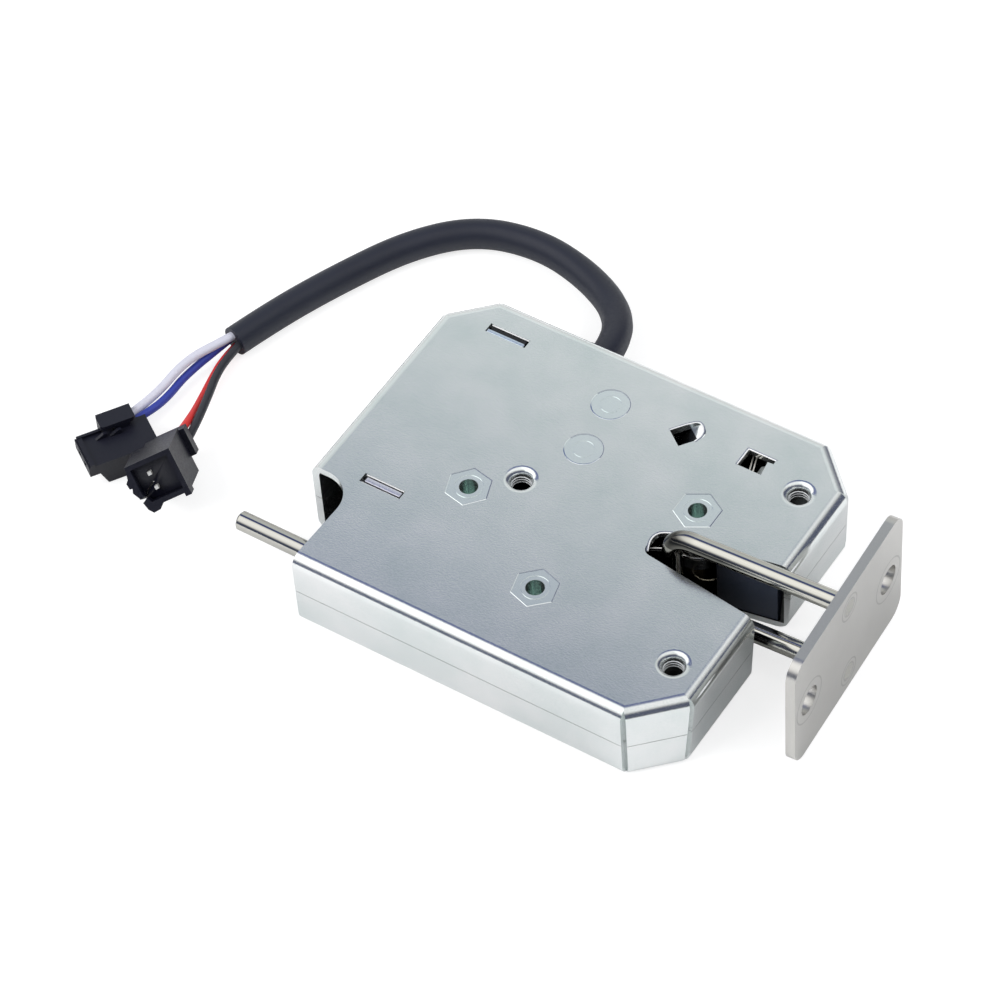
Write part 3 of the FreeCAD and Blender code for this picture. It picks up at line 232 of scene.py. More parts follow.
key = softbox("key softbox", place=(-0.5, -0.7, 0.75), target=(0, 0, 0), size=(0.7, 0.7), watts=9.5)
fill = softbox("fill softbox", place=(0.75, 0.45, 0.8), target=(0, 0, 0), size=(0.8, 0.8), watts=6.5)
print("lamps", key.data.energy, fill.data.energy)

# %% [markdown]
# ## Finishes
# Each finish is one small node tree on object coordinates, so that its grain keeps its real
# size on every piece. The helper mixes a fine and a broad noise into the colour, drives the
# roughness from the fine one, and adds a slight bump.


# %% Finish helper
FINE_DETAIL, BUMP_MM = 4, 0.02
NOISE_SPREAD = (0.3, 0.7)


def noise(tree, place, size_mm, detail=None):
    node = tree.nodes.new("ShaderNodeTexNoise")
    node.inputs["Scale"].default_value = 1 / (size_mm * MM)
    if detail is not None:
        node.inputs["Detail"].default_value = detail
    link(tree, place, node.inputs["Vector"])
    return node.outputs["Fac"]


def finish(name, colour, metallic=0.0, rough=(0.3, 0.4), grain_mm=0.25, vary=0.04, bump=0.02,
           stretch=(1, 1, 1), coat=0.0, broad_mm=9.0, shades=()):
    """A procedural finish: rough gives the least and greatest roughness, stretch draws the grain out,
    and each of the shades(tree, place) darkens part of the piece."""
    material = bpy.data.materials.new(name)
    material.use_nodes = True
    tree = material.node_tree
    shader = tree.nodes["Principled BSDF"]
    shader.inputs["Metallic"].default_value = metallic
    shader.inputs["Coat Weight"].default_value = coat
    place = tree.nodes.new("ShaderNodeTexCoord").outputs["Object"]
    mapping = tree.nodes.new("ShaderNodeMapping")
    mapping.inputs["Scale"].default_value = stretch
    link(tree, place, mapping.inputs["Vector"])
    fine = noise(tree, mapping.outputs[0], grain_mm, FINE_DETAIL)
    mixed = maths(tree, "MULTIPLY", maths(tree, "ADD", fine, noise(tree, place, broad_mm)), 0.5)
    darker = tuple(c * (1 - vary) for c in colour)
    lighter = tuple(min(1.0, c * (1 + vary)) for c in colour)
    tint = ramp(tree, mixed, list(zip(NOISE_SPREAD, (darker, lighter))))
    for shade in shades:
        tint = blend(tree, "MULTIPLY", 1.0, tint, shade(tree, place))
    link(tree, tint, shader.inputs["Base Color"])
    link(tree, ramp(tree, fine, list(zip(NOISE_SPREAD, rough))), shader.inputs["Roughness"])
    if bump:
        lift = tree.nodes.new("ShaderNodeBump")
        lift.inputs["Strength"].default_value = bump
        lift.inputs["Distance"].default_value = BUMP_MM * MM
        link(tree, fine, lift.inputs["Height"])
        link(tree, lift.outputs[0], shader.inputs["Normal"])
    return material


def colour(hexa):
    """Linear colour from a six-figure colour as a painter would pick it."""
    parts = [int(hexa[i:i + 2], 16) / 255 for i in (0, 2, 4)]
    return tuple(p / 12.92 if p <= 0.04045 else ((p + 0.055) / 1.055) ** 2.4 for p in parts)


def dress(material, *names):
    for name in names:
        mesh = nodes[name].data
        mesh.materials.clear()
        mesh.materials.append(material)
    print(material.name, "on", ", ".join(names))


# %% [markdown]
# ## Light that does not reach
# Inside a closed case hardly any light arrives, and a bar over an open slot mirrors darkness from below.
# Most shades here paint that shade, or a reflection, into the colour. Each is a small ramp on the piece's
# own coordinates, so it stays where it belongs when the piece is turned or seen from elsewhere.

# %% Shading by place
def along(tree, place, axis):
    parts = tree.nodes.new("ShaderNodeSeparateXYZ")
    link(tree, place, parts.inputs[0])
    return parts.outputs[axis]


def between(tree, value, low_mm, high_mm):
    """1 where value lies between the two heights, else 0."""
    above = maths(tree, "GREATER_THAN", value, low_mm * MM)
    return maths(tree, "MULTIPLY", above, maths(tree, "LESS_THAN", value, high_mm * MM))


def by_share(tree, place, axis, span_mm, stops):
    """A ramp along one axis, its stops given as shares of the span from the origin."""
    return ramp(tree, maths(tree, "MULTIPLY", along(tree, place, axis), 1 / (span_mm * MM)), stops)


def two_levels(tree, place, z_mm, below, above):
    """One brightness below the height and another above it."""
    higher = maths(tree, "GREATER_THAN", along(tree, place, "Z"), z_mm * MM)
    return ramp(tree, higher, [(0.0, below), (1.0, above)])


CASE_LENGTH, CASE_WIDTH, CASE_TOP = 75, 61.6, 15.2
CASE_MID_X, CASE_HALF_X, CASE_HALF_Y, CASE_CORNER = -3.2, 36.0, 29.3, 56.5
INNER_FLOOR_Z, INNER_ROOF_Z = 1.2, 13.95
BACK_SHARE, RIGHT_SHARE = 0.6, -0.4
SLOT_SPAN = 40
BORE_Z, TAB_Z = 15.02, 14.0


def inside_dark(tree, place):
    """Painted shade: whatever lies inside the walls and between the two sheets is darkened nearly to
    black, as hardly any light gets in.
    """
    from_middle = maths(tree, "SUBTRACT", along(tree, place, "X"), CASE_MID_X * MM)
    off_x = maths(tree, "ABSOLUTE", from_middle)
    off_y = maths(tree, "ABSOLUTE", along(tree, place, "Y"))
    off_corner = maths(tree, "ADD", off_x, off_y)
    inside = between(tree, along(tree, place, "Z"), INNER_FLOOR_Z, INNER_ROOF_Z)
    for distance, limit in ((off_x, CASE_HALF_X), (off_y, CASE_HALF_Y), (off_corner, CASE_CORNER)):
        inside = maths(tree, "MULTIPLY", inside, maths(tree, "LESS_THAN", distance, limit * MM))
    return ramp(tree, inside, [(0.0, 1.0), (1.0, 0.06)])


def painted_light_to_back(tree, place):
    """Painted light: the plating is brighter towards the back and left and darker towards the front,
    standing in for the brighter reflection it shows there.
    """
    rise = maths(tree, "MULTIPLY_ADD", along(tree, place, "Y"), BACK_SHARE / (CASE_WIDTH * MM), 0.5)
    aside = maths(tree, "MULTIPLY", along(tree, place, "X"), RIGHT_SHARE / (CASE_LENGTH * MM))
    across = maths(tree, "ADD", rise, aside)
    return ramp(tree, across, [(0.16, 0.86), (0.44, 0.93), (0.67, 0.96), (0.93, 1.0)])


def painted_dark_bend(tree, place):
    """Painted shade: the bend of the bar is darker than its straight legs, a painted dark reflection of
    the dim room it faces.
    """
    return by_share(tree, place, "X", SLOT_SPAN, [(0.43, 0.35), (0.53, 1.0)])


BOW_LEG_HEIGHTS, BOW_RADIUS = (3.65, 19.25), 1.6
BOW_DARK_TO, BOW_LIT_FROM = 0.7, 1.25
BOW_SHADED_X, BOW_FREE_X = 26.0, 33.0


def falling(tree, value, full_mm, none_mm):
    """1 where value is at most full_mm, falling to 0 at none_mm."""
    span = (none_mm - full_mm) * MM
    fall = maths(tree, "MULTIPLY_ADD", value, 1 / span, -full_mm * MM / span)
    return ramp(tree, fall, [(0.0, 1.0), (1.0, 0.0)])


def dark_below(tree, place):
    """The lower half of each leg mirrors the unlit slot beneath it."""
    height = along(tree, place, "Z")
    halves = []
    for leg in BOW_LEG_HEIGHTS:
        above_foot = maths(tree, "GREATER_THAN", height, (leg - BOW_RADIUS) * MM)
        halves.append(maths(tree, "MULTIPLY",
                            falling(tree, height, leg + BOW_DARK_TO, leg + BOW_LIT_FROM), above_foot))
    over_slot = falling(tree, along(tree, place, "X"), BOW_SHADED_X, BOW_FREE_X)
    dark = maths(tree, "MULTIPLY", maths(tree, "ADD", *halves), over_slot)
    return ramp(tree, dark, [(0.0, 1.0), (1.0, 0.25)])


def painted_bore_shade(tree, place):
    """Painted shade: the bores of the heads darken just below the sheet, where little light gets in."""
    return two_levels(tree, place, BORE_Z, (0.80, 0.87, 0.84), 1.0)


def painted_tab_shadow(tree, place):
    """Painted shadow: the tabs down in their slots are darkened, their ends most of all."""
    return two_levels(tree, place, TAB_Z, 0.5, 0.10)


def deep_dark(tree, place):
    """Pieces down in the case get little light: they darken from the sheet to the floor."""
    return by_share(tree, place, "Z", CASE_TOP, [(0.1, 0.12), (0.6, 0.3), (0.9, 0.9)])


def dark_to_left(tree, place):
    """The slot's guide leaves the light towards its inner end."""
    return by_share(tree, place, "X", SLOT_SPAN, [(0.54, 0.25), (0.68, 1.0)])


PLATE_MID_Y, PLATE_MID_Z, PLATE_HOLE_Y = 1.09, 11.45, 12.9
RIVET_RINGS, HOLE_RINGS, RING_HALF = (1.55, 2.35), (3.9,), 0.14


def pressed_rings(tree, place):
    """Faint rings round the rivets and the screw holes, where the plate was pressed."""
    result = None
    spots = [(PLATE_MID_Y, z, RIVET_RINGS) for z in BOW_LEG_HEIGHTS]
    spots += [(PLATE_MID_Y + side * PLATE_HOLE_Y, PLATE_MID_Z, HOLE_RINGS) for side in (-1, 1)]
    for y, z, radii in spots:
        offset = tree.nodes.new("ShaderNodeVectorMath")
        offset.operation = "MULTIPLY_ADD"
        offset.inputs[1].default_value = (0, 1, 1)
        offset.inputs[2].default_value = (0, -y * MM, -z * MM)
        link(tree, place, offset.inputs[0])
        length = tree.nodes.new("ShaderNodeVectorMath")
        length.operation = "LENGTH"
        link(tree, offset.outputs[0], length.inputs[0])
        for radius in radii:
            near = between(tree, length.outputs["Value"], radius - RING_HALF, radius + RING_HALF)
            result = near if result is None else maths(tree, "MAXIMUM", result, near)
    return ramp(tree, result, [(0.0, 1.0), (1.0, 0.78)])


# %% [markdown]
# ## Metals
# Zinc plating is a soft mirror with a fine sandy grain; turned and sheared pieces are duller;
# the bar of the striker is bright nickel and its plate is satin stainless steel.

# %% Metals
ZINC = (0.92, 1.0, 0.99)
top_zinc = finish("zinc plated sheet", ZINC, 0.95, (0.12, 0.22), 0.24, 0.16, 0.3,
                  shades=(inside_dark, painted_light_to_back))
dress(top_zinc, "top_shell", "bottom_shell")
hex_zinc = finish("zinc plated hardware", ZINC, 0.95, (0.16, 0.24), 0.24, 0.04, 0.03,
                  shades=(painted_light_to_back, painted_bore_shade))
dress(hex_zinc, "standoff_left", "standoff_back", "standoff_front", "switch_pins", "housing_screws")
strip_steel = finish("plated strip", (0.5, 0.51, 0.52), 1.0, (0.25, 0.4), 0.3, 0.05, 0.1,
                     shades=(deep_dark,))
dress(strip_steel, "latch_hook", "striker_kicker")
tab_steel = finish("plated yoke", (0.6, 0.6, 0.62), 1.0, (0.25, 0.4), 0.3, 0.05, 0.1,
                   shades=(painted_tab_shadow,))
dress(tab_steel, "solenoid_yoke")
soft_iron = finish("turned iron", colour("A9A59C"), 1.0, (0.2, 0.32), 0.3, 0.05, 0.1, (1, 0.05, 1),
                   shades=(deep_dark,))
dress(soft_iron, "solenoid_core", "plunger", "plunger_pin", "rod_pin")
nickel_bar = finish("nickel plated bar", (0.54, 0.53, 0.49), 1.0, (0.06, 0.12), 0.3, 0.06, 0.04,
                    (0.1, 1, 1))
dress(nickel_bar, "release_rod", "rod_collar")
bow_nickel = finish("nickel plated bow", (0.56, 0.55, 0.50), 1.0, (0.10, 0.16), 0.3, 0.06, 0.04,
                    (0.1, 1, 1), shades=(painted_dark_bend, dark_below))
dress(bow_nickel, "striker_bow")
stainless = finish("satin stainless plate", (0.61, 0.60, 0.575), 1.0, (0.28, 0.34), 0.35, 0.05, 0,
                   (1, 1, 0.12), shades=(pressed_rings,))
dress(stainless, "striker_plate")
brass = finish("turned brass", (0.30, 0.23, 0.12), 1.0, (0.25, 0.35), 0.3, 0.05, 0.05, shades=(deep_dark,))
dress(brass, "hook_bush", "hook_spacer", "kicker_spacer")
spring_wire = finish("spring wire", colour("D5D5D2"), 1.0, (0.15, 0.25), 0.3, 0.04, 0.05)
dress(spring_wire, "hook_spring", "kicker_spring", "plunger_spring", "switch_lever")
tin = finish("bright tin", colour("F0EFEA"), 0.5, (0.2, 0.3), 0.3, 0.03, 0.04)
dress(tin, "switch_terminals", "socket_pins")

# %% [markdown]
# ## Plastics and winding
# Moulded nylon is matte with a faint grain from its mould. The coil's wire is drawn as a
# stretched noise under clear varnish, and the lead's jacket is a soft, slightly blue black.

# %% Plastics and winding
winding = finish("varnished copper winding", colour("9A4A22"), 0.6, (0.25, 0.4), 0.12, 0.2, 0.5,
                 (0.2, 4, 0.2), coat=0.5)
dress(winding, "solenoid_coil")
nylon = finish("black nylon", colour("0D0E1A"), 0.0, (0.38, 0.5), 0.4, 0.15, 0.1)
dress(nylon, "rod_guide", "solenoid_bobbin", "plug_housing", "socket_housing")
guide_nylon = finish("slate nylon", colour("363D4C"), 0.0, (0.35, 0.5), 0.4, 0.1, 0.05,
                     shades=(dark_to_left,))
dress(guide_nylon, "slot_guide")
phenolic = finish("black phenolic", colour("1F1F21"), 0.0, (0.3, 0.45), 0.4, 0.1, 0.1)
dress(phenolic, "switch_body")
red_nylon = finish("red button", colour("B93A2C"), 0.0, (0.35, 0.5), 0.3, 0.08, 0.05)
dress(red_nylon, "switch_button")
soft_pvc = finish("soft blue-black jacket", colour("1C1F2B"), 0.0, (0.42, 0.55), 0.5, 0.12, 0.2)
dress(soft_pvc, "cable_grommet")

# %% [markdown]
# ## Threads
# Each mounting hole is drawn down through the sheet and then tapped. The turns that show are
# the crests of the thread, so a small three-cornered profile is swept down the bore with a
# screw modifier, one pitch for each turn.

# %% Threads
M4_HOLES = [(-10.8, 0.35), (27.64, 19.26), (28.05, -18.56)]
THREAD_R, THREAD_RIDGE, THREAD_PITCH = 1.62, 0.13, 0.55
THREAD_TURNS, THREAD_STEPS, THREAD_LOW_Z = 3, 40, 12.45


def ops_piece(name):
    """Name the piece just made by a primitive operator and give it a mesh of its own name."""
    piece = bpy.context.object
    piece.name = name
    piece.data.name = name
    return piece


def pick_only(piece):
    """Select this piece alone and make it the active one."""
    bpy.ops.object.select_all(action="DESELECT")
    piece.select_set(True)
    bpy.context.view_layer.objects.active = piece


def keep_transform():
    bpy.ops.object.transform_apply(location=True, rotation=True, scale=True)


def thread(name, place):
    bpy.ops.object.select_all(action="DESELECT")
    bpy.ops.mesh.primitive_circle_add(vertices=3, radius=THREAD_RIDGE * MM, rotation=(math.pi / 2, 0, 0))
    piece = ops_piece(name)
    keep_transform()
    bpy.ops.object.mode_set(mode="EDIT")
    bpy.ops.mesh.select_all(action="SELECT")
    bpy.ops.transform.translate(value=(THREAD_R * MM, 0, THREAD_LOW_Z * MM))
    bpy.ops.object.mode_set(mode="OBJECT")
    screw = piece.modifiers.new("turns", "SCREW")
    screw.axis = "Z"
    screw.screw_offset = THREAD_PITCH * MM
    screw.iterations = THREAD_TURNS
    screw.steps = screw.render_steps = THREAD_STEPS
    bpy.ops.object.modifier_apply(modifier="turns")
    bpy.ops.object.mode_set(mode="EDIT")
    bpy.ops.mesh.select_all(action="SELECT")
    bpy.ops.mesh.fill_holes(sides=3)
    bpy.ops.transform.translate(value=(place[0] * MM, place[1] * MM, 0))
    bpy.ops.mesh.normals_make_consistent(inside=False)
    bpy.ops.object.mode_set(mode="OBJECT")
    return piece


def settle(piece, material, body="case"):
    """Give a finished piece its material and its body."""
    piece.data.materials.clear()
    piece.data.materials.append(material)
    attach(piece, body)
    print(piece.name, len(piece.data.polygons), "faces")


thread_zinc = finish("tapped zinc", (0.90, 0.92, 0.93), 0.4, (0.2, 0.3), 0.2, 0.04, 0.05)
for number, place in enumerate(M4_HOLES):
    settle(thread("thread_%d" % number, place), thread_zinc)

# %% [markdown]
# ## Edges of the pressed-in heads
# The three hexagonal heads stand a hair above the sheet, and the hammered rivets of the switch
# do too. Their rounded edge draws a white line on the near side and a dark one on the far side, so each
# gets
# a low sloping ring: a short cone with its middle cut out. Its far-side faces carry a painted dark line.

# %% Raised rings
HEX_ACROSS = 6.5
HEX_HEADS = [((-17.0, -5.0), 48.7), ((15.94, 8.6), 30), ((2.52, -16.67), 43)]
SWITCH_RIVETS = [(-6.84, 20.2), (-5.66, 10.32)]
# Radius of the ring's upper edge, its width and height, and how many corners it has
HEX_EDGE, RIVET_EDGE = (HEX_ACROSS / math.sqrt(3), 0.11, 0.05, 6), (3.05, 0.12, 0.04, 64)
RING_LAP = 0.06
FAR_SIDE, FAR_FROM_MIDDLE = Vector((0.21, 0.98, 0)), 0.3


def raised_ring(name, place, r, wide, high, corners, turn):
    """A low ring that slopes outwards, round when it has many corners."""
    x, y = place[0] * MM, place[1] * MM
    bpy.ops.object.select_all(action="DESELECT")
    bpy.ops.mesh.primitive_cylinder_add(vertices=corners, radius=(r - RING_LAP) * MM, depth=4 * high * MM,
                                        location=(x, y, CASE_TOP * MM), rotation=(0, 0, turn))
    core = bpy.context.object
    bpy.ops.object.select_all(action="DESELECT")
    bpy.ops.mesh.primitive_cone_add(vertices=corners, radius1=(r + wide) * MM, radius2=r * MM,
                                    depth=high * MM, location=(x, y, (CASE_TOP + high / 2) * MM),
                                    rotation=(0, 0, turn))
    piece = ops_piece(name)
    keep_transform()
    hollow = piece.modifiers.new("hollow", "BOOLEAN")
    hollow.object = core
    bpy.ops.object.modifier_apply(modifier="hollow")
    bpy.data.objects.remove(core)
    bpy.ops.object.shade_smooth_by_angle(angle=math.radians(20))
    return piece


def paint_far_side_dark(piece, place):
    """Give the faces on the far side of the place the piece's second finish, a painted dark line standing
    in for the dark reflection there.
    """
    piece.data.materials.append(painted_dark_line)
    for face in piece.data.polygons:
        away = (face.center - Vector((place[0] * MM, place[1] * MM, 0))).dot(FAR_SIDE)
        face.material_index = 1 if away > FAR_FROM_MIDDLE * MM else 0


rim_zinc = finish("plated edge", ZINC, 1.0, (0.14, 0.22), 0.2, 0.05, 0.05, shades=(painted_light_to_back,))
# Painted dark line: a dark finish standing in for the dark reflection along the far side of rounded edges.
painted_dark_line = finish("painted dark line", (0.22, 0.24, 0.32), 0.6, (0.35, 0.5), 0.2, 0.2, 0.05)
rings = [("hex_edge_%d" % number, place, HEX_EDGE, math.radians(turn + 30))
         for number, (place, turn) in enumerate(HEX_HEADS)]
rings += [("rivet_edge_%d" % number, place, RIVET_EDGE, 0) for number, place in enumerate(SWITCH_RIVETS)]
for name, place, shape, turn in rings:
    ring = raised_ring(name, place, *shape, turn)
    settle(ring, rim_zinc)
    paint_far_side_dark(ring, place)

# %% [markdown]
# ## Small things in the openings
# The tabs of the coil's yoke are peened over in their slots. The slots' edges are thin near-white bars, a
# painted highlight. Behind the second window a sheared ledge, also a painted highlight, and two strands of
# spring wire catch the light, and down in the striker's slot a spring eye and a small brass bar show
# behind the bow.

# %% Tab crowns
def rounded_bar(name, centre, size, turn, width, segments=4):
    """A bar with rounded edges: centre and size in mm, turn in radians about the three axes."""
    bpy.ops.object.select_all(action="DESELECT")
    bpy.ops.mesh.primitive_cube_add(size=1, location=[v * MM for v in centre], rotation=turn,
                                    scale=[v * MM for v in size])
    piece = ops_piece(name)
    keep_transform()
    bpy.ops.object.mode_set(mode="EDIT")
    bpy.ops.mesh.select_all(action="SELECT")
    bpy.ops.mesh.bevel(offset=width * MM, segments=segments, affect="EDGES")
    bpy.ops.object.mode_set(mode="OBJECT")
    bpy.ops.object.shade_smooth_by_angle(angle=math.radians(40))
    return piece


TAB_X, TAB_FRONT_Y, TAB_BACK_Y = -28.6, -11.6, 24.4
STRAIGHT = (0, 0, 0)
CROWN_EDGE, SLOT_EDGE = 0.14, 0.05
crown_steel = finish("peened crown", (0.74, 0.74, 0.82), 0.9, (0.25, 0.35), 0.2, 0.12, 0.2)
blue_crown = finish("blued crown", (0.66, 0.76, 0.92), 0.9, (0.3, 0.4), 0.3, 0.2, 0.3)
# Painted highlight: a near-white finish for the thin bars that stand in for the light on sheared edges.
painted_highlight = finish("painted highlight edge", (0.95, 0.95, 0.95), 0.3, (0.2, 0.3), 0.2, 0.05, 0.05)
for name, centre, size, material in (
        ("crown_front", (TAB_X + 0.2, TAB_FRONT_Y - 0.02, 14.98), (6.5, 0.95, 0.3), crown_steel),
        ("crown_back", (TAB_X - 0.1, TAB_BACK_Y - 0.52, 15.0), (6.9, 0.7, 0.3), blue_crown)):
    settle(rounded_bar(name, centre, size, STRAIGHT, CROWN_EDGE), material)
# Thin near-white bars along the slots' edges, painted highlights.
for name, y, wide in (("far_edge_front", TAB_FRONT_Y + 0.79, 0.18),
                      ("near_edge_front", TAB_FRONT_Y - 0.83, 0.12),
                      ("far_edge_back", TAB_BACK_Y + 0.78, 0.2)):
    edge = rounded_bar(name, (TAB_X + 0.1, y, 15.02), (7.0, wide, 0.2), STRAIGHT, SLOT_EDGE, 2)
    settle(edge, painted_highlight)

# %% Window tongue and wires
tongue = rounded_bar("window_tongue", (20.05, 20.95, 13.95), (1.8, 2.6, 0.3), (0, -0.62, 0), 0.08)
tongue_zinc = finish("sheared tongue", (0.62, 0.66, 0.65), 0.7, (0.3, 0.4), 0.2, 0.1, 0.1)
settle(tongue, tongue_zinc)
# The ledge is a near-white bar too, a painted highlight.
ledge = rounded_bar("window_ledge", (18.9, 24.25, 13.6), (2.6, 0.4, 0.4), STRAIGHT, 0.16)
settle(ledge, painted_highlight)
bright_wire = finish("bright wire", (0.90, 0.86, 0.78), 0.4, (0.25, 0.35), 0.2, 0.05, 0.05)
for number, x in enumerate((17.15, 17.75)):
    wire = rounded_bar("window_wire_%d" % number, (x, 22.9, 12.9), (0.26, 4.2, 0.26), (0, 0, 0.31), 0.1)
    settle(wire, bright_wire)

# %% Spring eye and brass bar in the slot
EYE_X, EYE_Y, EYE_Z, EYE_CUT_Y = 19.2, 6.0, 6.0, 5.2
EYE_R, EYE_WIRE_R = 2.4, 0.13
bpy.ops.object.select_all(action="DESELECT")
bpy.ops.mesh.primitive_torus_add(major_radius=EYE_R * MM, minor_radius=EYE_WIRE_R * MM,
                                 major_segments=64, minor_segments=10,
                                 location=(EYE_X * MM, EYE_Y * MM, EYE_Z * MM))
eye = ops_piece("spring_eye")
keep_transform()
bpy.ops.object.mode_set(mode="EDIT")
bpy.ops.mesh.select_all(action="SELECT")
bpy.ops.mesh.bisect(plane_co=(EYE_X * MM, EYE_CUT_Y * MM, EYE_Z * MM), plane_no=(0.12, 1, 0),
                    clear_outer=True, use_fill=True)
bpy.ops.object.mode_set(mode="OBJECT")
bpy.ops.object.shade_smooth_by_angle(angle=math.radians(40))
bright_brass = finish("bright brass", (0.50, 0.38, 0.18), 0.8, (0.2, 0.3), 0.3, 0.05, 0.05)
eye_wire = finish("spring eye wire", (0.62, 0.56, 0.42), 1.0, (0.2, 0.3), 0.3, 0.05, 0.05)
settle(eye, eye_wire)
brass_bar = rounded_bar("brass_bar", (15.4, 2.95, 8.5), (0.42, 2.5, 0.42), (0, 0, 0.6), 0.18)
settle(brass_bar, bright_brass)

# %% [markdown]
# ## The socket's mouth
# A black wall fills the socket's mouth, standing in for the shade deep in its hollow, and the two pins
# come forward through it. It is a plate cut to the mouth, with the same slanting slit, turned into place
# like the connector.

# %% Socket wall
SOCKET_CORNER, SOCKET_TURNS = (-62.9, -20.6, 13.7), (-24.1, 33.3, 120.7)
WALL_X, TOOL_DEPTH, CORNER_LEAN, SLIT_LEAN = 0.7, 3, -26.6, -33


def cut_away(piece, tool):
    """Take the tool's volume out of the piece and remove the tool."""
    pick_only(piece)
    taken = piece.modifiers.new("cut", "BOOLEAN")
    taken.object = tool
    bpy.ops.object.modifier_apply(modifier="cut")
    bpy.data.objects.remove(tool)


# A black wall filling the mouth, standing in for the shade deep in the hollow socket.
wall = rounded_bar("socket_mouth_shade", (WALL_X, 4.0, -3.8), (1.0, 6.3, 5.9), STRAIGHT, 0.05, 1)
for name, (y, z), (wide, high), lean, edge in (("corner_tool", (7.6, -6.7), (1.8, 3.2), CORNER_LEAN, 0.05),
                                               ("slit_tool", (6.5, -5.2), (3.8, 0.3), SLIT_LEAN, 0.02)):
    turn = (math.radians(lean), 0, 0)
    cut_away(wall, rounded_bar(name, (WALL_X, y, z), (TOOL_DEPTH, wide, high), turn, edge, 1))
pick_only(wall)
wall.rotation_euler = [math.radians(turn) for turn in SOCKET_TURNS]
wall.location = [v * MM for v in SOCKET_CORNER]
keep_transform()
settle(wall, nylon)

# %% [markdown]
# ## The lead
# The lead is a soft round jacket over four thin wires. Each is a curve with a round bevel on
# the route that the solids follow, so that it bends smoothly from its exit to its connector.

# %% Lead
SLEEVE_ROUTE = [
    (-17.0, 31.9, 7.0), (-17.4, 38.6, 5.9), (-21.9, 46.2, 3.9), (-31.0, 51.4, 2.7), (-41.5, 53.5, 2.6),
    (-52.3, 51.0, 2.6), (-60.4, 42.6, 2.6), (-66.6, 29.6, 2.6), (-71.0, 18.3, 2.6), (-73.3, 10.3, 2.6)]
WIRE_ROUTES = {
    "wire_white": [(-73.55, 10.85, 3.6), (-74.93, 7.29, 3.74), (-76.61, 3.86, 3.57), (-77.56, 0.22, 3.16),
                   (-77.79, -3.55, 2.55), (-78.49, -7.27, 2.04), (-79.45, -10.95, 1.9)],
    "wire_blue": [(-74.45, 11.0, 2.25), (-75.18, 7.22, 2.14), (-76.06, 3.48, 1.85), (-76.57, -0.33, 1.7),
                  (-76.39, -4.17, 1.7), (-76.85, -7.98, 1.81), (-78.15, -11.6, 1.9)],
    "wire_red": [(-73.2, 10.7, 1.5), (-73.28, 6.61, 1.58), (-72.48, 2.55, 1.62), (-71.41, -1.43, 1.9),
                 (-70.19, -5.28, 2.8), (-68.89, -8.86, 4.41), (-67.9, -12.7, 5.6)],
    "wire_black": [(-72.15, 10.4, 2.75), (-72.05, 6.34, 2.99), (-71.33, 2.37, 3.3), (-69.93, -1.44, 3.62),
                   (-68.56, -5.23, 4.11), (-67.4, -9.11, 4.25), (-66.6, -13.1, 4.1)]}


CURVE_ORDER, ALONG_STEPS, ROUND_STEPS = 3, 16, 8


def flex(name, route, radius_mm, material):
    """A round flexible tube: the route's points are the control points of one smooth spline."""
    data = bpy.data.curves.new(name, "CURVE")
    data.dimensions = "3D"
    spline = data.splines.new("NURBS")
    spline.points.add(len(route) - 1)
    for point, place in zip(spline.points, route):
        point.co = (*[v * MM for v in place], 1)
    spline.order_u = CURVE_ORDER
    spline.use_endpoint_u = True
    spline.resolution_u = ALONG_STEPS
    data.bevel_depth = radius_mm * MM
    data.bevel_resolution = ROUND_STEPS
    data.use_fill_caps = True
    piece = bpy.data.objects.new(name, data)
    bpy.context.scene.collection.objects.link(piece)
    data.materials.append(material)
    return piece


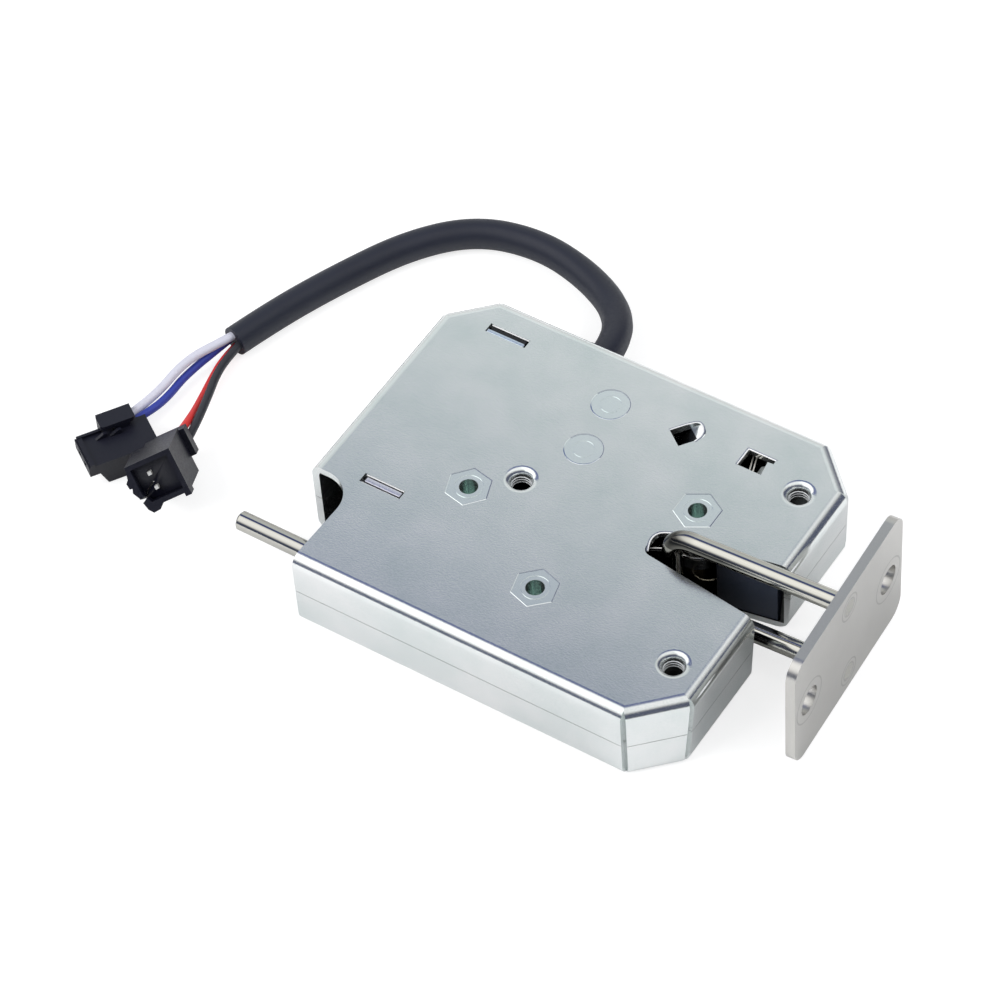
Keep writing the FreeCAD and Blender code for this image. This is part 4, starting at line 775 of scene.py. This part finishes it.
# Each wire's radius in mm, its slot in the record and the colour of its jacket
WIRES = {"wire_white": (0.75, "white_pvc", "C9C9D6"), "wire_blue": (0.68, "blue_pvc", "2E3C96"),
         "wire_red": (0.66, "red_pvc", "D03230"), "wire_black": (0.7, "black_pvc", "2A2B31")}
SLEEVE_R = 2.55
for name, (radius_mm, slot, hexa) in WIRES.items():
    jacket = finish(name + " jacket", colour(hexa), 0.0, (0.38, 0.5), 0.4, 0.05, 0.1)
    wire = flex(name + "_jacket", WIRE_ROUTES[name], radius_mm, jacket)
    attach(wire, "case")
    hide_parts(name)
sleeve = flex("sleeve_jacket", SLEEVE_ROUTE, SLEEVE_R, soft_pvc)
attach(sleeve, "case")
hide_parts("cable_sleeve")

# %% [markdown]
# ## Rolled rims
# The punch draws the sheet over a little as it enters, so the far rims of the openings are rounded: each
# shows a bright line with a dark one beside it. Both are painted, as a near-white strand for the highlight
# and a dark strand for the dark reflection, thin and round, laid along the rim and sunk into the sheet,
# turned from curves to meshes.

# %% Rolled rims
# Each rim's centre, and the points along its edge
RIMS = {
    "window_rim": ((6.6, 21.6), [(3.87, 20.47), (6.37, 23.93), (7.54, 23.91), (8.53, 22.92),
                                 (8.76, 21.54), (8.33, 20.36)]),
    "ledge_rim": ((18.6, 21.4), [(16.42, 19.7), (16.42, 22.8), (16.42, 23.2), (16.8, 23.2), (21.3, 23.2)]),
    "slot_rim": ((15.8, 0.0), [(13.5, -1.96), (12.78, -0.46), (12.72, 1.19), (13.66, 2.44), (15.4, 2.97)])}
# How far a strand lies outside the edge, its radius and its height, and its finish: painted highlight or
# painted dark line
STRANDS = {"_bright": (0.02, 0.12, 15.12, painted_highlight), "_dark": (0.24, 0.09, 15.15, painted_dark_line)}


def rim_strand(name, centre, points, outward, radius_mm, z, material):
    """A strand along the points, moved outwards from the centre by so many millimetres."""
    route = []
    for x, y in points:
        share = outward / math.dist((x, y), centre)
        route.append((x + (x - centre[0]) * share, y + (y - centre[1]) * share, z))
    strand = flex(name, route, radius_mm, material)
    pick_only(strand)
    bpy.ops.object.convert(target="MESH")
    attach(strand, "case")


for name, (centre, points) in RIMS.items():
    for kind, strand in STRANDS.items():
        rim_strand(name + kind, centre, points, *strand)
print(len(RIMS), "rims rolled")
